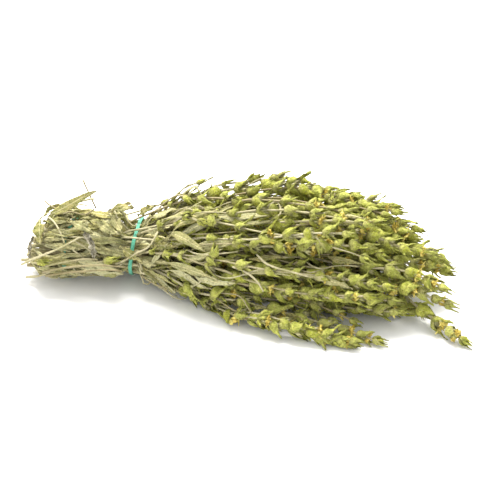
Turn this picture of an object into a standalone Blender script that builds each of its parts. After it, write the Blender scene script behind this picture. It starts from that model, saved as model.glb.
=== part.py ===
"""A tied bunch of dried mountain tea, lying on its side.

Leafy flowering stems run along +X from their cut ends to their flower tips. Each stem is one solid:
a square stalk, the lance-shaped leaves on its lower half, and on its upper half the cups that each
pair of beaked bracts makes. Two green bands hold the bunch. Metres, +Z up, floor at z = 0.
"""

import math
import random

import bmesh
import bpy
import numpy as np
from mathutils import Matrix
from mathutils.bvhtree import BVHTree

# The bunch: its half-width and half-height at stations along it, and how its middle wanders sideways
STEM_COUNT = 40
STATION_X = (0.000, 0.035, 0.086, 0.130, 0.180, 0.230, 0.280, 0.335)
STATION_SIDE = (0.000, 0.004, 0.008, 0.009, 0.010, 0.010, 0.006, 0.000)
HALF_WIDTH = (0.0255, 0.0250, 0.0245, 0.045, 0.062, 0.066, 0.069, 0.068)
HALF_HEIGHT = (0.0240, 0.0240, 0.0240, 0.032, 0.037, 0.039, 0.036, 0.028)
LONGEST_REACH = 0.338
INNER_STEMS = 14
SHORTER_AT_RIM = 0.060
UNEVEN_TIPS = 0.045
CUT_SLANT = 0.014
FAN_LENGTH = 0.120
DRAW_IN = 0.27
DRAW_OUT_LENGTH = 0.050
LOWER_AT = (0.036, 0.086, 0.120, 0.190)
LOWER_BY = (0.0022, 0.0036, 0.0028, 0.0)

# Stems that stand out of the flower end: an elbow and a tip, each (along, sideways, up)
STRAY_STEMS = (
    ((0.280, -0.012, 0.022), (0.338, -0.056, 0.008)),
    ((0.270, -0.016, 0.032), (0.326, -0.028, 0.021)),
    ((0.262, 0.004, 0.044), (0.313, 0.007, 0.034)),
    ((0.250, 0.012, 0.056), (0.296, 0.015, 0.050)),
    ((0.222, 0.032, 0.070), (0.284, 0.022, 0.066)),
    ((0.225, -0.050, 0.014), (0.277, -0.061, 0.009)),
    ((0.180, 0.030, 0.067), (0.242, 0.038, 0.072)),
    ((0.200, -0.054, 0.016), (0.262, -0.066, 0.010)),
)

# One stem
STALK_RADIUS = 0.0018
STALK_TIP_RADIUS = 0.0010
STALK_RING_SPACING = 0.020
CUP_RADIUS = 0.0062
CUP_LENGTH = 0.0110
INNER_STEM_CUPS = (6, 7)
OUTER_STEM_CUPS = (9, 10)
FIRST_CUP_GAP = 0.0100
CUP_GAP_GROWTH = 1.13
MOST_CUP_GAP = 0.0200
LEAF_LENGTH = 0.036
LEAF_HALF_WIDTH = 0.0036
LEAF_RIB = 0.0011
BLADE_SHAPE = ((0.0, 0.0), (0.30, 1.0), (0.68, 0.86), (1.0, 0.0))

# The bands
MAIN_BAND_X = 0.086
END_BAND_X = 0.036
BAND_INNER_RADIUS = 0.0238
BAND_WIDTH = 0.0028
BAND_THICKNESS = 0.0012
BAND_SECTIONS = 28

# Leaves laid over the outside, most of them on its near side and top; angles round the bunch are in
# degrees, with 0 at the far side, 90 on top and 180 at the near side
LAID_LEAVES = 37
LAID_FROM, LAID_TO = 0.004, 0.142
LAID_NEAR_ANGLE, LAID_FAR_ANGLE = 208.0, -15.0
LAID_HEADING = 26.0
LAID_LENGTHS = (0.032, 0.041)
LAID_LEAF_LIFT = 0.0014
LIFTED_LEAF = (0.021, 100.0, -4.0, 0.034)
LIFTED_LEAF_RISE = 0.013
PLACES_TRIED = 24
ROOTS_TRIED = 24
BEFORE_BAND = 0.014
BLADE_ROOM = 0.0005

# Room that neighbours keep, and how finely a strand is sampled
CLEARANCE = 0.0003
BEAD_SPACING = 0.003
BEAD_MARGIN = 0.0003
STALK_SLACK = 0.0007
FLOOR_SINK = 0.0006
NEAR_BAND = 0.006
OVER_BAND = 0.013

SEED = 62
GOLDEN_ANGLE = math.pi * (3.0 - math.sqrt(5.0))


class Strand:
    """A stem or a leaf as a row of beads: the room that it takes along its length."""

    def __init__(self, stem, radii, points, cups=(), anchor=0, half_width=0.0, out=None):
        self.stem = stem
        self.radii = np.asarray(radii, float)
        self.points = np.asarray(points, float)
        self.cups = list(cups)
        self.anchor = anchor
        self.half_width = half_width
        self.out = out
        self.first = 0


def at_station(x, values):
    """The bunch's size or place at the distance x along it."""
    return np.interp(x, STATION_X, values)


def smooth_step(t):
    """0 to 1 with level ends."""
    t = np.clip(t, 0.0, 1.0)
    return t * t * (3.0 - 2.0 * t)


def section_point(x, u, w):
    """A point of the unit disc carried to the bunch's cross-section at x.

    The section is round at the bands and a flat-bottomed heap in the flower half.
    """
    heap = smooth_step((x - MAIN_BAND_X) / FAN_LENGTH)
    rise = 1.0 + (np.sqrt(np.clip(1.0 - u * u, 0.0, 1.0)) - 1.0) * heap
    side = at_station(x, STATION_SIDE) + at_station(x, HALF_WIDTH) * u
    height = at_station(x, HALF_HEIGHT) * (rise + w)
    return np.column_stack([x, side, height])


def stem_course(index, draw):
    """The course that stem number index would take if it had the bunch to itself."""
    radius = math.sqrt((index + 0.5) / STEM_COUNT)
    angle = index * GOLDEN_ANGLE
    start = draw.uniform(0.0, 0.010) + CUT_SLANT * max(0.0, radius * math.sin(angle))
    end = LONGEST_REACH - SHORTER_AT_RIM * radius ** 2 - draw.uniform(0.0, UNEVEN_TIPS)
    x = np.arange(start, end, BEAD_SPACING)
    turn = draw.uniform(-0.3, 0.3) * smooth_step((x - MAIN_BAND_X) / 0.2)
    reach = radius * draw.uniform(0.83, 0.92)
    sway = 0.045 * np.sin(draw.uniform(0.0, math.tau) + x * 28.0)
    u = reach * np.cos(angle + turn) + sway
    w = reach * np.sin(angle + turn) + sway
    return section_point(x, u, w)


def stray_course(course, elbow, tip):
    """The course bent to pass through the elbow and end at the tip."""
    elbow, tip = np.array(elbow), np.array(tip)
    x = np.arange(course[0, 0], tip[0], BEAD_SPACING)
    base = np.column_stack([np.interp(x, course[:, 0], course[:, k]) for k in range(3)])
    base[:, 0] = x
    line = elbow + np.outer((x - elbow[0]) / (tip[0] - elbow[0]), tip - elbow)
    share = smooth_step((x - MAIN_BAND_X) / (elbow[0] - MAIN_BAND_X))[:, None]
    return base + (line - base) * share


def miss_at(course, point):
    """How far, across the bunch, a course passes from a point."""
    return np.hypot(*(np.interp(point[0], course[:, 0], course[:, k]) - point[k] for k in (1, 2)))


def stem_courses():
    """Every stem's course, with the stray stems given to the nearest ones."""
    courses = [
        stem_course(index, random.Random(SEED * 1000 + index))
        for index in range(STEM_COUNT)
    ]
    free = list(range(STEM_COUNT))
    for elbow, tip in STRAY_STEMS:
        apart = [miss_at(courses[index], elbow) + miss_at(courses[index], tip) for index in free]
        nearest = free.pop(int(np.argmin(apart)))
        courses[nearest] = stray_course(courses[nearest], elbow, tip)
    return courses


def cup_places(length, few_many, draw):
    """(distance along the stem, size) of each cup, the bud at the tip last."""
    places = []
    gap = FIRST_CUP_GAP * draw.uniform(0.9, 1.15)
    at = length - CUP_LENGTH * 0.75
    for number in range(draw.randint(*few_many)):
        size = min(1.0, 0.62 + 0.11 * number) * draw.uniform(0.92, 1.05)
        places.append((at, size))
        at -= max(gap, CUP_LENGTH * size * 0.95)
        gap = min(gap * CUP_GAP_GROWTH, MOST_CUP_GAP) * draw.uniform(0.93, 1.08)
    return places[::-1]


def stem_radii(count, cups):
    """The bead radius at each point of a stem: its stalk's, or its cups' where it has them."""
    s = BEAD_SPACING * np.arange(count)
    radii = np.interp(s / s[-1], (0.0, 1.0), (STALK_RADIUS, STALK_TIP_RADIUS))
    radii[s > cups[0][0]] += STALK_SLACK
    for at, size in cups:
        reach = np.array((-0.10, 0.05, 0.30, 0.85, 1.05, 1.15)) * CUP_LENGTH * size
        room = np.array((0.0, 0.45, 1.06, 1.10, 0.90, 0.0)) * CUP_RADIUS * size
        radii = np.maximum(radii, np.interp(s - at, reach, room, 0.0, 0.0))
    return radii


def leaf_radii(count, half_width):
    """The bead radius along a leaf: narrow stalk, wide middle, pointed tip."""
    t = np.arange(count) / (count - 1)
    shape = np.sin(math.pi * np.clip(0.08 + 0.92 * t, 0.0, 1.0) ** 0.8)
    return LEAF_RIB / 2 + half_width * np.clip(shape, 0.0, 1.0)


def inner_leaf(stem, at, draw):
    """A leaf that lies along its own stem, leaving it at bead number at."""
    root = stem.points[at]
    out_side = root[1] - at_station(root[0], STATION_SIDE)
    out_up = root[2] - at_station(root[0], HALF_HEIGHT)
    angle = math.atan2(out_up, out_side) + draw.uniform(-1.1, 1.1)
    away = np.array([0.0, math.cos(angle), math.sin(angle)])
    length = LEAF_LENGTH * draw.uniform(0.8, 1.1)
    count = min(int(length / BEAD_SPACING) + 1, len(stem.points) - at)
    half_width = LEAF_HALF_WIDTH * draw.uniform(0.85, 1.05)
    t = np.arange(count) / (count - 1)
    offset = 0.0036 * smooth_step(t * 3.0) + draw.uniform(0.0, 0.003) * smooth_step(t)
    points = stem.points[at : at + count] + offset[:, None] * away
    return Strand(stem.stem, leaf_radii(count, half_width), points, (), at, half_width)


def make_strands():
    """Every stem and inner leaf of the bunch, before they are eased apart."""
    stems, leaves = [], []
    for index, course in enumerate(stem_courses()):
        draw = random.Random(SEED * 500 + index)
        outer = index >= INNER_STEMS
        few_many = OUTER_STEM_CUPS if outer else INNER_STEM_CUPS
        cups = cup_places(BEAD_SPACING * (len(course) - 1), few_many, draw)
        stem = Strand(index, stem_radii(len(course), cups), course, cups)
        stems.append(stem)
        bare = int(cups[0][0] / BEAD_SPACING)
        for share in (0.08, 0.62) if outer else (0.30,):
            at = int(bare * (share + draw.uniform(-0.05, 0.22)))
            leaves.append(inner_leaf(stem, at, draw))
    return stems, leaves


def drawn_in(places):
    """The places with the tied half drawn in towards its axis, so that the stems press on each other."""
    x = places[:, 0]
    tied = 1.0 - smooth_step((x - MAIN_BAND_X) / DRAW_OUT_LENGTH)
    axis = np.column_stack([x, at_station(x, STATION_SIDE), at_station(x, HALF_HEIGHT)])
    return places + (axis - places) * (tied * DRAW_IN)[:, None]


class Bunch:
    """All the beads together, and the rule that eases them apart."""

    def __init__(self, stems, leaves):
        self.stems, self.leaves, self.laid = stems, leaves, []
        first = 0
        for strand in stems + leaves:
            strand.first = first
            first += len(strand.radii)
        strands = stems + leaves
        self.goal = drawn_in(np.vstack([s.points for s in strands]))
        self.place = self.goal.copy()
        self.radius = np.concatenate([s.radii for s in strands])
        self.owner = np.concatenate([np.full(len(s.radii), s.stem) for s in strands])
        self.strand = np.concatenate([np.full(len(s.radii), k) for k, s in enumerate(strands)])
        self.is_leaf = self.strand >= len(stems)
        self.before, self.after = np.arange(first), np.arange(first)
        for strand in strands:
            index = np.arange(strand.first, strand.first + len(strand.radii))
            self.before[index[1:]] = index[:-1]
            self.after[index[:-1]] = index[1:]
        self.inner = (self.before != np.arange(first)) & (self.after != np.arange(first))
        self.near_root = np.zeros(first, bool)
        self.bare = np.zeros(first, bool)
        self.spread = np.zeros(first)
        for leaf in leaves:
            self.near_root[leaf.first : leaf.first + 3] = True
        for stem in stems:
            self.bare[stem.first : stem.first + int(stem.cups[0][0] / BEAD_SPACING)] = True

    def pairs(self, reach):
        """Bead pairs of different strands that lie close enough to matter, and the gap each keeps."""
        order = np.argsort(self.place[:, 0], kind="stable")
        place, radius = self.place[order], self.radius[order]
        found = []
        furthest = 2.0 * self.radius.max() + reach
        for step in range(1, len(order)):
            apart = place[step:] - place[:-step]
            if apart[:, 0].min() > furthest:
                break
            limit = radius[step:] + radius[:-step] + reach
            close = np.nonzero((apart ** 2).sum(axis=1) < limit ** 2)[0]
            found.append(np.column_stack([order[close], order[close + step]]))
        a, b = np.vstack(found).T
        kin = self.owner[a] == self.owner[b]
        rooted = kin & (self.near_root[a] | self.near_root[b])
        keep = (self.strand[a] != self.strand[b]) & ~rooted
        a, b, kin = a[keep], b[keep], kin[keep]
        stem_radius = np.where(self.is_leaf[a], self.radius[b], self.radius[a])
        own_stem = kin & (self.is_leaf[a] != self.is_leaf[b])
        gap = self.radius[a] + self.radius[b] + CLEARANCE + BEAD_MARGIN
        return a, b, np.where(own_stem, stem_radius + 0.0020, gap)

    def push_apart(self, a, b, gap):
        """Moves the two beads of each pair that is too close away from each other."""
        apart = self.place[b] - self.place[a]
        distance = np.maximum(np.sqrt((apart ** 2).sum(axis=1)), 1e-6)
        short = np.maximum(gap - distance, 0.0)
        hit = short > 0.0
        shove = apart[hit] * (0.45 * short[hit] / distance[hit])[:, None]
        shove[:, 0] *= 0.3
        count = len(self.place)
        touches = np.bincount(a[hit], minlength=count) + np.bincount(b[hit], minlength=count)
        crowd = np.maximum(np.sqrt(touches), 1.0)
        for axis in range(3):
            moved = np.bincount(b[hit], shove[:, axis], count) - np.bincount(a[hit], shove[:, axis], count)
            self.place[:, axis] += moved / crowd

    def hold(self):
        """Keeps the beads inside both bands and above the floor."""
        for band_x in (MAIN_BAND_X, END_BAND_X):
            near = np.abs(self.place[:, 0] - band_x) < NEAR_BAND
            out = self.place[near] - band_centre(band_x)
            out[:, 0] = 0.0
            reach = np.maximum(np.sqrt((out ** 2).sum(axis=1)), 1e-6)
            over = np.maximum(reach + self.radius[near] - BAND_INNER_RADIUS, 0.0)
            self.place[near] -= out * (over / reach)[:, None]
        self.place[:, 2] = np.maximum(self.place[:, 2], self.radius - FLOOR_SINK)

    def ease(self, rounds, pull, sag, bend):
        """Rounds of pulling to the course, sagging, straightening and pushing apart."""
        free = smooth_step((self.goal[:, 0] - MAIN_BAND_X) / FAN_LENGTH)
        for turn in range(rounds):
            if turn % 12 == 0:
                a, b, gap = self.pairs(0.002)
            self.place += pull * (self.goal - self.place)
            self.place[:, 2] -= sag * free
            for _ in range(2):
                middle = 0.5 * (self.place[self.before] + self.place[self.after])
                self.place[self.inner] += bend * (middle - self.place)[self.inner]
            for leaf in self.leaves:
                self.place[leaf.first] = self.place[self.stems[leaf.stem].first + leaf.anchor]
            self.push_apart(a, b, gap)
            self.hold()
            self.place = np.round(self.place, 7)

    def settle(self):
        """Eases the strands apart and gives each one its points."""
        self.ease(200, 0.010, 0.00005, 0.25)
        self.ease(160, 0.003, 0.00002, 0.12)
        self.ease(120, 0.0, 0.0, 0.04)
        self.ease(200, 0.0, 0.0, 0.0)
        self.place[:, 2] -= np.interp(self.place[:, 0], LOWER_AT, LOWER_BY)
        self.place[:, 2] = np.maximum(self.place[:, 2], self.radius - FLOOR_SINK)
        for strand in self.stems + self.leaves:
            strand.points = self.place[strand.first : strand.first + len(strand.radii)]

    def clear_root(self, wanted, onward):
        """The bare stalk bead near a wanted place that has the clearest way out to the point onward."""
        distance = np.sqrt(((self.place - wanted) ** 2).sum(axis=1)) + np.abs(self.place[:, 0] - wanted[0])
        distance[~self.bare] = 1.0
        best, best_score = 0, -1.0
        for root in np.argsort(distance, kind="stable")[:ROOTS_TRIED]:
            others = self.owner != self.owner[root]
            way = self.place[root] + np.outer(np.linspace(0.2, 0.9, 8), onward - self.place[root])
            apart = way[:, None, :] - self.place[None, others, :]
            room = (np.sqrt((apart ** 2).sum(axis=2)) - self.radius[others]).min()
            score = min(room, 0.0015) - 0.1 * distance[root]
            if score > best_score:
                best, best_score = int(root), score
        return best

    def laid_leaf(self, x, angle, heading, length, rise=0.0):
        """One leaf laid over whatever is already at that place on the outside of the bunch."""
        half_width = LEAF_HALF_WIDTH * 1.08
        count = int(length / BEAD_SPACING) + 1
        s = BEAD_SPACING * np.arange(count)
        at_x = x + s * math.cos(math.radians(heading))
        axis = np.column_stack([at_x, at_station(at_x, STATION_SIDE), at_station(at_x, HALF_HEIGHT)])
        around = math.radians(angle) + s * math.sin(math.radians(heading)) / axis[:, 2]
        out = np.column_stack([np.zeros(count), np.cos(around), np.sin(around)])
        tangent = np.column_stack([np.zeros(count), -np.sin(around), np.cos(around)])
        needed = np.zeros(count)
        spread = half_width + self.spread
        for k in range(count):
            near = np.abs(self.place[:, 0] - at_x[k]) < self.radius + BEAD_SPACING
            apart = self.place[near] - axis[k]
            gap_along = np.maximum(np.abs(apart[:, 0]) - BEAD_SPACING / 2, 0.0)
            gap_across = np.maximum(np.abs(apart @ tangent[k]) - spread[near], 0.0)
            room = (self.radius[near] + CLEARANCE) ** 2 - gap_along ** 2 - gap_across ** 2
            over = np.where(room > 0.0, apart @ out[k] + np.sqrt(np.maximum(room, 0.0)), 0.0)
            needed[k] = over.max(initial=0.0)
            for band_x in (MAIN_BAND_X, END_BAND_X):
                if abs(at_x[k] - band_x) < OVER_BAND:
                    needed[k] = max(needed[k], BAND_INNER_RADIUS + BAND_THICKNESS + 2 * CLEARANCE)
        needed += LAID_LEAF_LIFT
        reach = needed + rise * smooth_step(s / length)
        for _ in range(60):
            middle = 0.5 * (reach[:-2] + reach[2:])
            reach[1:-1] = np.maximum(needed[1:-1], middle)
        points = axis + out * reach[:, None]
        root = self.clear_root(points[0], points[2])
        owner = int(self.owner[root])
        points[0] = self.place[root]
        points[1] = 0.5 * (points[0] + points[2])
        anchor = root - self.stems[owner].first
        return Strand(owner, leaf_radii(count, half_width), points, (), anchor, half_width, out)

    def keep(self, leaf):
        """Adds a laid leaf, so that later ones lie over it."""
        count = len(leaf.radii)
        self.laid.append(leaf)
        self.place = np.vstack([self.place, leaf.points])
        self.radius = np.concatenate([self.radius, np.full(count, LAID_LEAF_LIFT)])
        self.spread = np.concatenate([self.spread, np.full(count, leaf.half_width)])
        self.owner = np.concatenate([self.owner, np.full(count, leaf.stem)])
        self.bare = np.concatenate([self.bare, np.full(count, False)])


def band_centre(band_x):
    """The middle of a band, which stands on the floor on its own thickness."""
    up = BAND_INNER_RADIUS + BAND_THICKNESS + CLEARANCE
    return np.array([band_x, at_station(band_x, STATION_SIDE), up - FLOOR_SINK / 3])


def along(points, s):
    """The point at each distance s along a strand."""
    run = BEAD_SPACING * np.arange(len(points))
    s = np.asarray(s, float)
    place = np.column_stack([np.interp(s, run, points[:, k]) for k in range(3)])
    last = points[-1] - points[-2]
    beyond = np.maximum(s - run[-1], 0.0)[:, None] / BEAD_SPACING
    return place + last * beyond


def headings(points, s, span):
    """The unit direction of a strand at each distance s, over a stretch of that span."""
    s = np.asarray(s, float)
    found = along(points, s + span) - along(points, np.maximum(s - span, 0.0))
    return found / np.sqrt((found ** 2).sum(axis=1))[:, None]


def cross_axes(heading, roll):
    """Two unit vectors across the heading, turned by the roll angle."""
    side = np.cross((0.0, 0.0, 1.0), heading)
    side /= np.linalg.norm(side)
    top = np.cross(heading, side)
    first = math.cos(roll) * side + math.sin(roll) * top
    return first, math.cos(roll) * top - math.sin(roll) * side


def square_ring(place, heading, roll, beak, flank):
    """Four corners round a stalk; beak and flank are (radius, forward) of the two opposite pairs."""
    first, second = cross_axes(heading, roll)
    return [
        place + first * beak[0] + heading * beak[1],
        place + second * flank[0] + heading * flank[1],
        place - first * beak[0] + heading * beak[1],
        place - second * flank[0] + heading * flank[1],
    ]


def bare_stations(stem, leaves):
    """Distances along the bare stalk that get a ring: each leaf's root, and more where they are far apart."""
    fixed = [0.0]
    for at in sorted(BEAD_SPACING * leaf.anchor for leaf in leaves):
        if at - fixed[-1] > 1.5 * BEAD_SPACING:
            fixed.append(at)
    fixed.append(stem.cups[0][0])
    stations = []
    for low, high in zip(fixed, fixed[1:]):
        pieces = max(1, round((high - low) / STALK_RING_SPACING))
        stations += [low + (high - low) * k / pieces for k in range(pieces)]
    return stations


def stem_rings(stem, stations):
    """A stem's square rings: its bare stalk, then each cup's base, bulge, beaked rim and throat."""
    roll = random.Random(SEED * 77 + stem.stem).uniform(0.0, math.pi)
    length = BEAD_SPACING * (len(stem.radii) - 1)
    rings = []
    for s in stations:
        radius = np.interp(s / length, (0.0, 1.0), (STALK_RADIUS, STALK_TIP_RADIUS))
        (place,), (heading,) = along(stem.points, [s]), headings(stem.points, [s], 0.004)
        rings.append(square_ring(place, heading, roll, (radius, 0.0), (radius, 0.0)))
    for number, (at, size) in enumerate(stem.cups):
        wide, deep = CUP_RADIUS * size, CUP_LENGTH * size
        stalk = np.interp(at / length, (0.0, 1.0), (STALK_RADIUS, STALK_TIP_RADIUS))
        (place,) = along(stem.points, [at])
        (heading,) = headings(stem.points, [at + deep / 2], deep / 2)
        turned = [
            ((stalk, 0.0), (stalk, 0.0)),
            ((wide * 0.86, deep * 0.22), (wide * 0.90, deep * 0.30)),
            ((wide * 1.04, deep * 0.98), (wide * 0.96, deep * 0.62)),
            ((stalk * 1.6, deep * 0.60), (stalk * 1.6, deep * 0.60)),
        ]
        for beak, flank in turned:
            if number % 2:
                beak, flank = flank, beak
            rings.append(square_ring(place, heading, roll, beak, flank))
    return rings


def skin(rings, closed=False):
    """Faces between rings of equal count, with end caps unless the row of rings is closed."""
    bm = bmesh.new()
    made = [[bm.verts.new(p) for p in ring] for ring in rings]
    count = len(rings[0])
    following = made[1:] + made[:1] if closed else made[1:]
    for low, high in zip(made, following):
        for k in range(count):
            n = (k + 1) % count
            bm.faces.new((low[k], low[n], high[n], high[k]))
    if not closed:
        bm.faces.new(made[0][::-1])
        bm.faces.new(made[-1])
    bmesh.ops.triangulate(bm, faces=bm.faces[:])
    bmesh.ops.recalc_face_normals(bm, faces=bm.faces[:])
    return bm


def leaf_blade(leaf, stem, room=0.0):
    """A lance-shaped blade, thickest along its rib, its edges drooping towards its stem."""
    count = len(leaf.radii)
    stations = [BEAD_SPACING * (count - 1) * share for share, _ in BLADE_SHAPE]
    places, directions = along(leaf.points, stations), headings(leaf.points, stations, 0.003)
    if leaf.out is None:
        away = (leaf.points - stem.points[leaf.anchor : leaf.anchor + count])[2:].mean(axis=0)
        sides = [away] * len(stations)
    else:
        sides = along(leaf.out, stations)
    bm = bmesh.new()
    rows = []
    for place, heading, side, (_, width) in zip(places, directions, sides, BLADE_SHAPE):
        out = side - heading * side.dot(heading)
        out /= np.linalg.norm(out)
        across = np.cross(heading, out) * (leaf.half_width + room) * width
        droop = out * leaf.half_width * width * 0.28
        if width == 0.0:
            rows.append([bm.verts.new(place)] * 4)
            continue
        corners = (
            place + across - droop,
            place + out * (LEAF_RIB * 0.6 + room),
            place - across - droop,
            place - out * (LEAF_RIB * 0.4 + room),
        )
        rows.append([bm.verts.new(p) for p in corners])
    for low, high in zip(rows, rows[1:]):
        for k in range(4):
            n = (k + 1) % 4
            corners = list(dict.fromkeys((low[k], low[n], high[n], high[k])))
            if len(corners) > 2:
                bm.faces.new(corners)
    bmesh.ops.triangulate(bm, faces=bm.faces[:], quad_method="SHORT_EDGE")
    bmesh.ops.recalc_face_normals(bm, faces=bm.faces[:])
    return bm


def material(name, colour, roughness):
    """A plain finish for a node."""
    made = bpy.data.materials.new(name)
    made.use_nodes = True
    shader = made.node_tree.nodes["Principled BSDF"]
    shader.inputs["Base Color"].default_value = (*colour, 1.0)
    shader.inputs["Roughness"].default_value = roughness
    shader.inputs["Metallic"].default_value = 0.0
    return made


def new_object(name, bm, finish, collection=None):
    """Turns a bmesh into an object, in the scene or in a helper collection."""
    mesh = bpy.data.meshes.new(name)
    bm.to_mesh(mesh)
    bm.free()
    mesh.materials.append(finish)
    made = bpy.data.objects.new(name, mesh)
    (collection or bpy.context.scene.collection).objects.link(made)
    return made


def apply_boolean(target, operation, operand, solver):
    """Runs one Boolean with an object or a collection and keeps its result."""
    modifier = target.modifiers.new(operation.lower(), "BOOLEAN")
    modifier.operation = operation
    modifier.solver = solver
    if isinstance(operand, bpy.types.Collection):
        modifier.operand_type = "COLLECTION"
        modifier.collection = operand
    else:
        modifier.object = operand
    graph = bpy.context.evaluated_depsgraph_get()
    mesh = bpy.data.meshes.new_from_object(target.evaluated_get(graph))
    target.modifiers.clear()
    old = target.data
    target.data = mesh
    bpy.data.meshes.remove(old)


def build_stem(stem, leaves, finish):
    """One leafy stem as one solid."""
    name = f"stem_{stem.stem + 1:02d}"
    made = new_object(name, skin(stem_rings(stem, bare_stations(stem, leaves))), finish)
    blades = bpy.data.collections.new(name + "_leaves")
    bpy.context.scene.collection.children.link(blades)
    for leaf in leaves:
        new_object(name + "_leaf", leaf_blade(leaf, stem), finish, blades)
    apply_boolean(made, "UNION", blades, "MANIFOLD")
    for blade in list(blades.objects):
        bpy.data.objects.remove(blade)
    bpy.data.collections.remove(blades)
    return made


def crossing_points(meshes, band_x):
    """Where the edges of the bmeshes inside a band pass the planes of its two rims."""
    found = []
    for bm in meshes:
        ends = np.array([[vertex.co for vertex in edge.verts] for edge in bm.edges])
        for rim in (band_x - BAND_WIDTH / 2 - CLEARANCE, band_x + BAND_WIDTH / 2 + CLEARANCE):
            run = ends[:, 1, 0] - ends[:, 0, 0]
            share = (rim - ends[:, 0, 0]) / np.where(run == 0.0, 1.0, run)
            crosses = (share > 0.0) & (share < 1.0)
            low, high = ends[crosses, 0], ends[crosses, 1]
            found.append(low + (high - low) * share[crosses, None])
    points = np.vstack(found)
    centre = band_centre(band_x)
    centre[2] -= np.interp(band_x, LOWER_AT, LOWER_BY)
    reach = np.hypot(*(points - centre)[:, 1:].T)
    return points[reach < BAND_INNER_RADIUS + BAND_THICKNESS / 2]


def band_skin(inside, band_x):
    """A flat elastic band stretched round every bmesh that crosses its plane."""
    angles = math.tau * np.arange(BAND_SECTIONS) / BAND_SECTIONS
    out = np.column_stack([np.zeros(BAND_SECTIONS), np.cos(angles), np.sin(angles)])
    turned = np.column_stack([np.zeros(BAND_SECTIONS), -np.sin(angles), np.cos(angles)])
    support = (crossing_points(inside, band_x) @ out.T).max(axis=0) + 2 * CLEARANCE
    slope = (np.roll(support, -1) - np.roll(support, 1)) / (2 * math.tau / BAND_SECTIONS)
    path = out * support[:, None] + turned * slope[:, None]
    half = np.array([BAND_WIDTH / 2, 0.0, 0.0])
    rings = []
    for inner, outward in zip(path, out * BAND_THICKNESS):
        inner = inner + np.array([band_x, 0.0, 0.0])
        rings.append([inner - half, inner + half, inner + half + outward, inner - half + outward])
    return skin(rings, closed=True)


def lay_leaves(bunch):
    """Lays the outer leaves, each at the first place drawn where its blade crosses no other piece.

    It returns the two bands, which go under the leaves.
    """
    stalks, blades = [], []
    for stem in bunch.stems:
        stations = np.arange(0.0, stem.cups[0][0], BEAD_SPACING)
        stalks.append((stem.stem, skin(stem_rings(stem, stations))))
    for leaf in bunch.leaves:
        blades.append((leaf.stem, leaf_blade(leaf, bunch.stems[leaf.stem])))
    inside = [bm for _, bm in stalks + blades]
    bands = [band_skin(inside, band_x) for band_x in (MAIN_BAND_X, END_BAND_X)]
    trees = [(owner, BVHTree.FromBMesh(bm)) for owner, bm in stalks + blades]
    trees += [(-1, BVHTree.FromBMesh(band)) for band in bands]
    for bm in inside:
        bm.free()
    draw = random.Random(SEED * 31)
    for number in range(LAID_LEAVES):
        for _ in range(PLACES_TRIED):
            if number == 0:
                x, angle, heading, length = LIFTED_LEAF
                x, angle = x + draw.uniform(-0.003, 0.003), angle + draw.uniform(-9.0, 9.0)
                rise = LIFTED_LEAF_RISE
            else:
                share = (number * 0.6180 + draw.uniform(0.0, 0.16)) % 1.0
                x = LAID_FROM + (LAID_TO - LAID_FROM) * share
                for band_x in (END_BAND_X, MAIN_BAND_X):
                    if 0.0 < band_x - x < BEFORE_BAND:
                        x -= BEFORE_BAND
                round_share = (number * 0.7549 + draw.uniform(0.0, 0.12)) % 1.0
                angle = LAID_NEAR_ANGLE + (LAID_FAR_ANGLE - LAID_NEAR_ANGLE) * round_share ** 1.3
                heading = draw.uniform(-LAID_HEADING, LAID_HEADING)
                length, rise = draw.uniform(*LAID_LENGTHS), 0.0
            leaf = bunch.laid_leaf(x, angle, heading, length, rise)
            blade = leaf_blade(leaf, bunch.stems[leaf.stem], BLADE_ROOM)
            tree = BVHTree.FromBMesh(blade)
            blade.free()
            if not any(owner != leaf.stem and tree.overlap(other) for owner, other in trees):
                bunch.keep(leaf)
                trees.append((leaf.stem, tree))
                break
    return bands


def rest_on_floor(objects):
    """Cuts what reaches below the floor flat, so that the bunch rests on small flat spots."""
    bm = bmesh.new()
    bmesh.ops.create_cube(bm, size=1.0)
    bmesh.ops.translate(bm, verts=bm.verts[:], vec=(0.15, 0.0, -0.5))
    slab = new_object("floor_cutter", bm, objects[0].data.materials[0])
    slab.hide_render = True
    slab.display_type = "WIRE"
    for target in objects:
        if min(vertex.co.z for vertex in target.data.vertices) < 0.0:
            apply_boolean(target, "DIFFERENCE", slab, "MANIFOLD")
    bpy.data.objects.remove(slab)


def centre_on_origin(objects):
    """Moves the bunch so that the middle of its footprint is at the origin."""
    places = np.array([vertex.co for solid in objects for vertex in solid.data.vertices])
    middle = (places.min(axis=0) + places.max(axis=0)) / 2
    for solid in objects:
        solid.data.transform(Matrix.Translation((-middle[0], -middle[1], 0.0)))


def main():
    """Builds the whole bunch."""
    for old in list(bpy.data.objects):
        bpy.data.objects.remove(old)
    bunch = Bunch(*make_strands())
    bunch.settle()
    middle_band, end_band = lay_leaves(bunch)
    herb = material("dried_herb", (0.33, 0.36, 0.14), 0.85)
    rubber = material("green_band", (0.01, 0.42, 0.33), 0.45)
    made = []
    for stem in bunch.stems:
        own = [leaf for leaf in bunch.leaves + bunch.laid if leaf.stem == stem.stem]
        made.append(build_stem(stem, own, herb))
    bands = [
        new_object("band_middle", middle_band, rubber),
        new_object("band_end", end_band, rubber),
    ]
    rest_on_floor(made + bands)
    centre_on_origin(made + bands)


main()
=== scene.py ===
"""Looks of a tied bunch of dried mountain tea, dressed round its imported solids.

Every stem and leaf takes the course that the placement rule of the solids gives it. Each stem then gets
its felted square stalk, folded and veined leaves, cups of beaked bracts, calyces, dried flowers and hairs.
Metres, +Z up, stems along +X, in the frame of the solids.
"""

import logging
import math
import random
from dataclasses import dataclass, field, replace
from enum import Enum

import bmesh
import bpy
import numpy as np
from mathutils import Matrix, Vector
from mathutils.bvhtree import BVHTree


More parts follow.
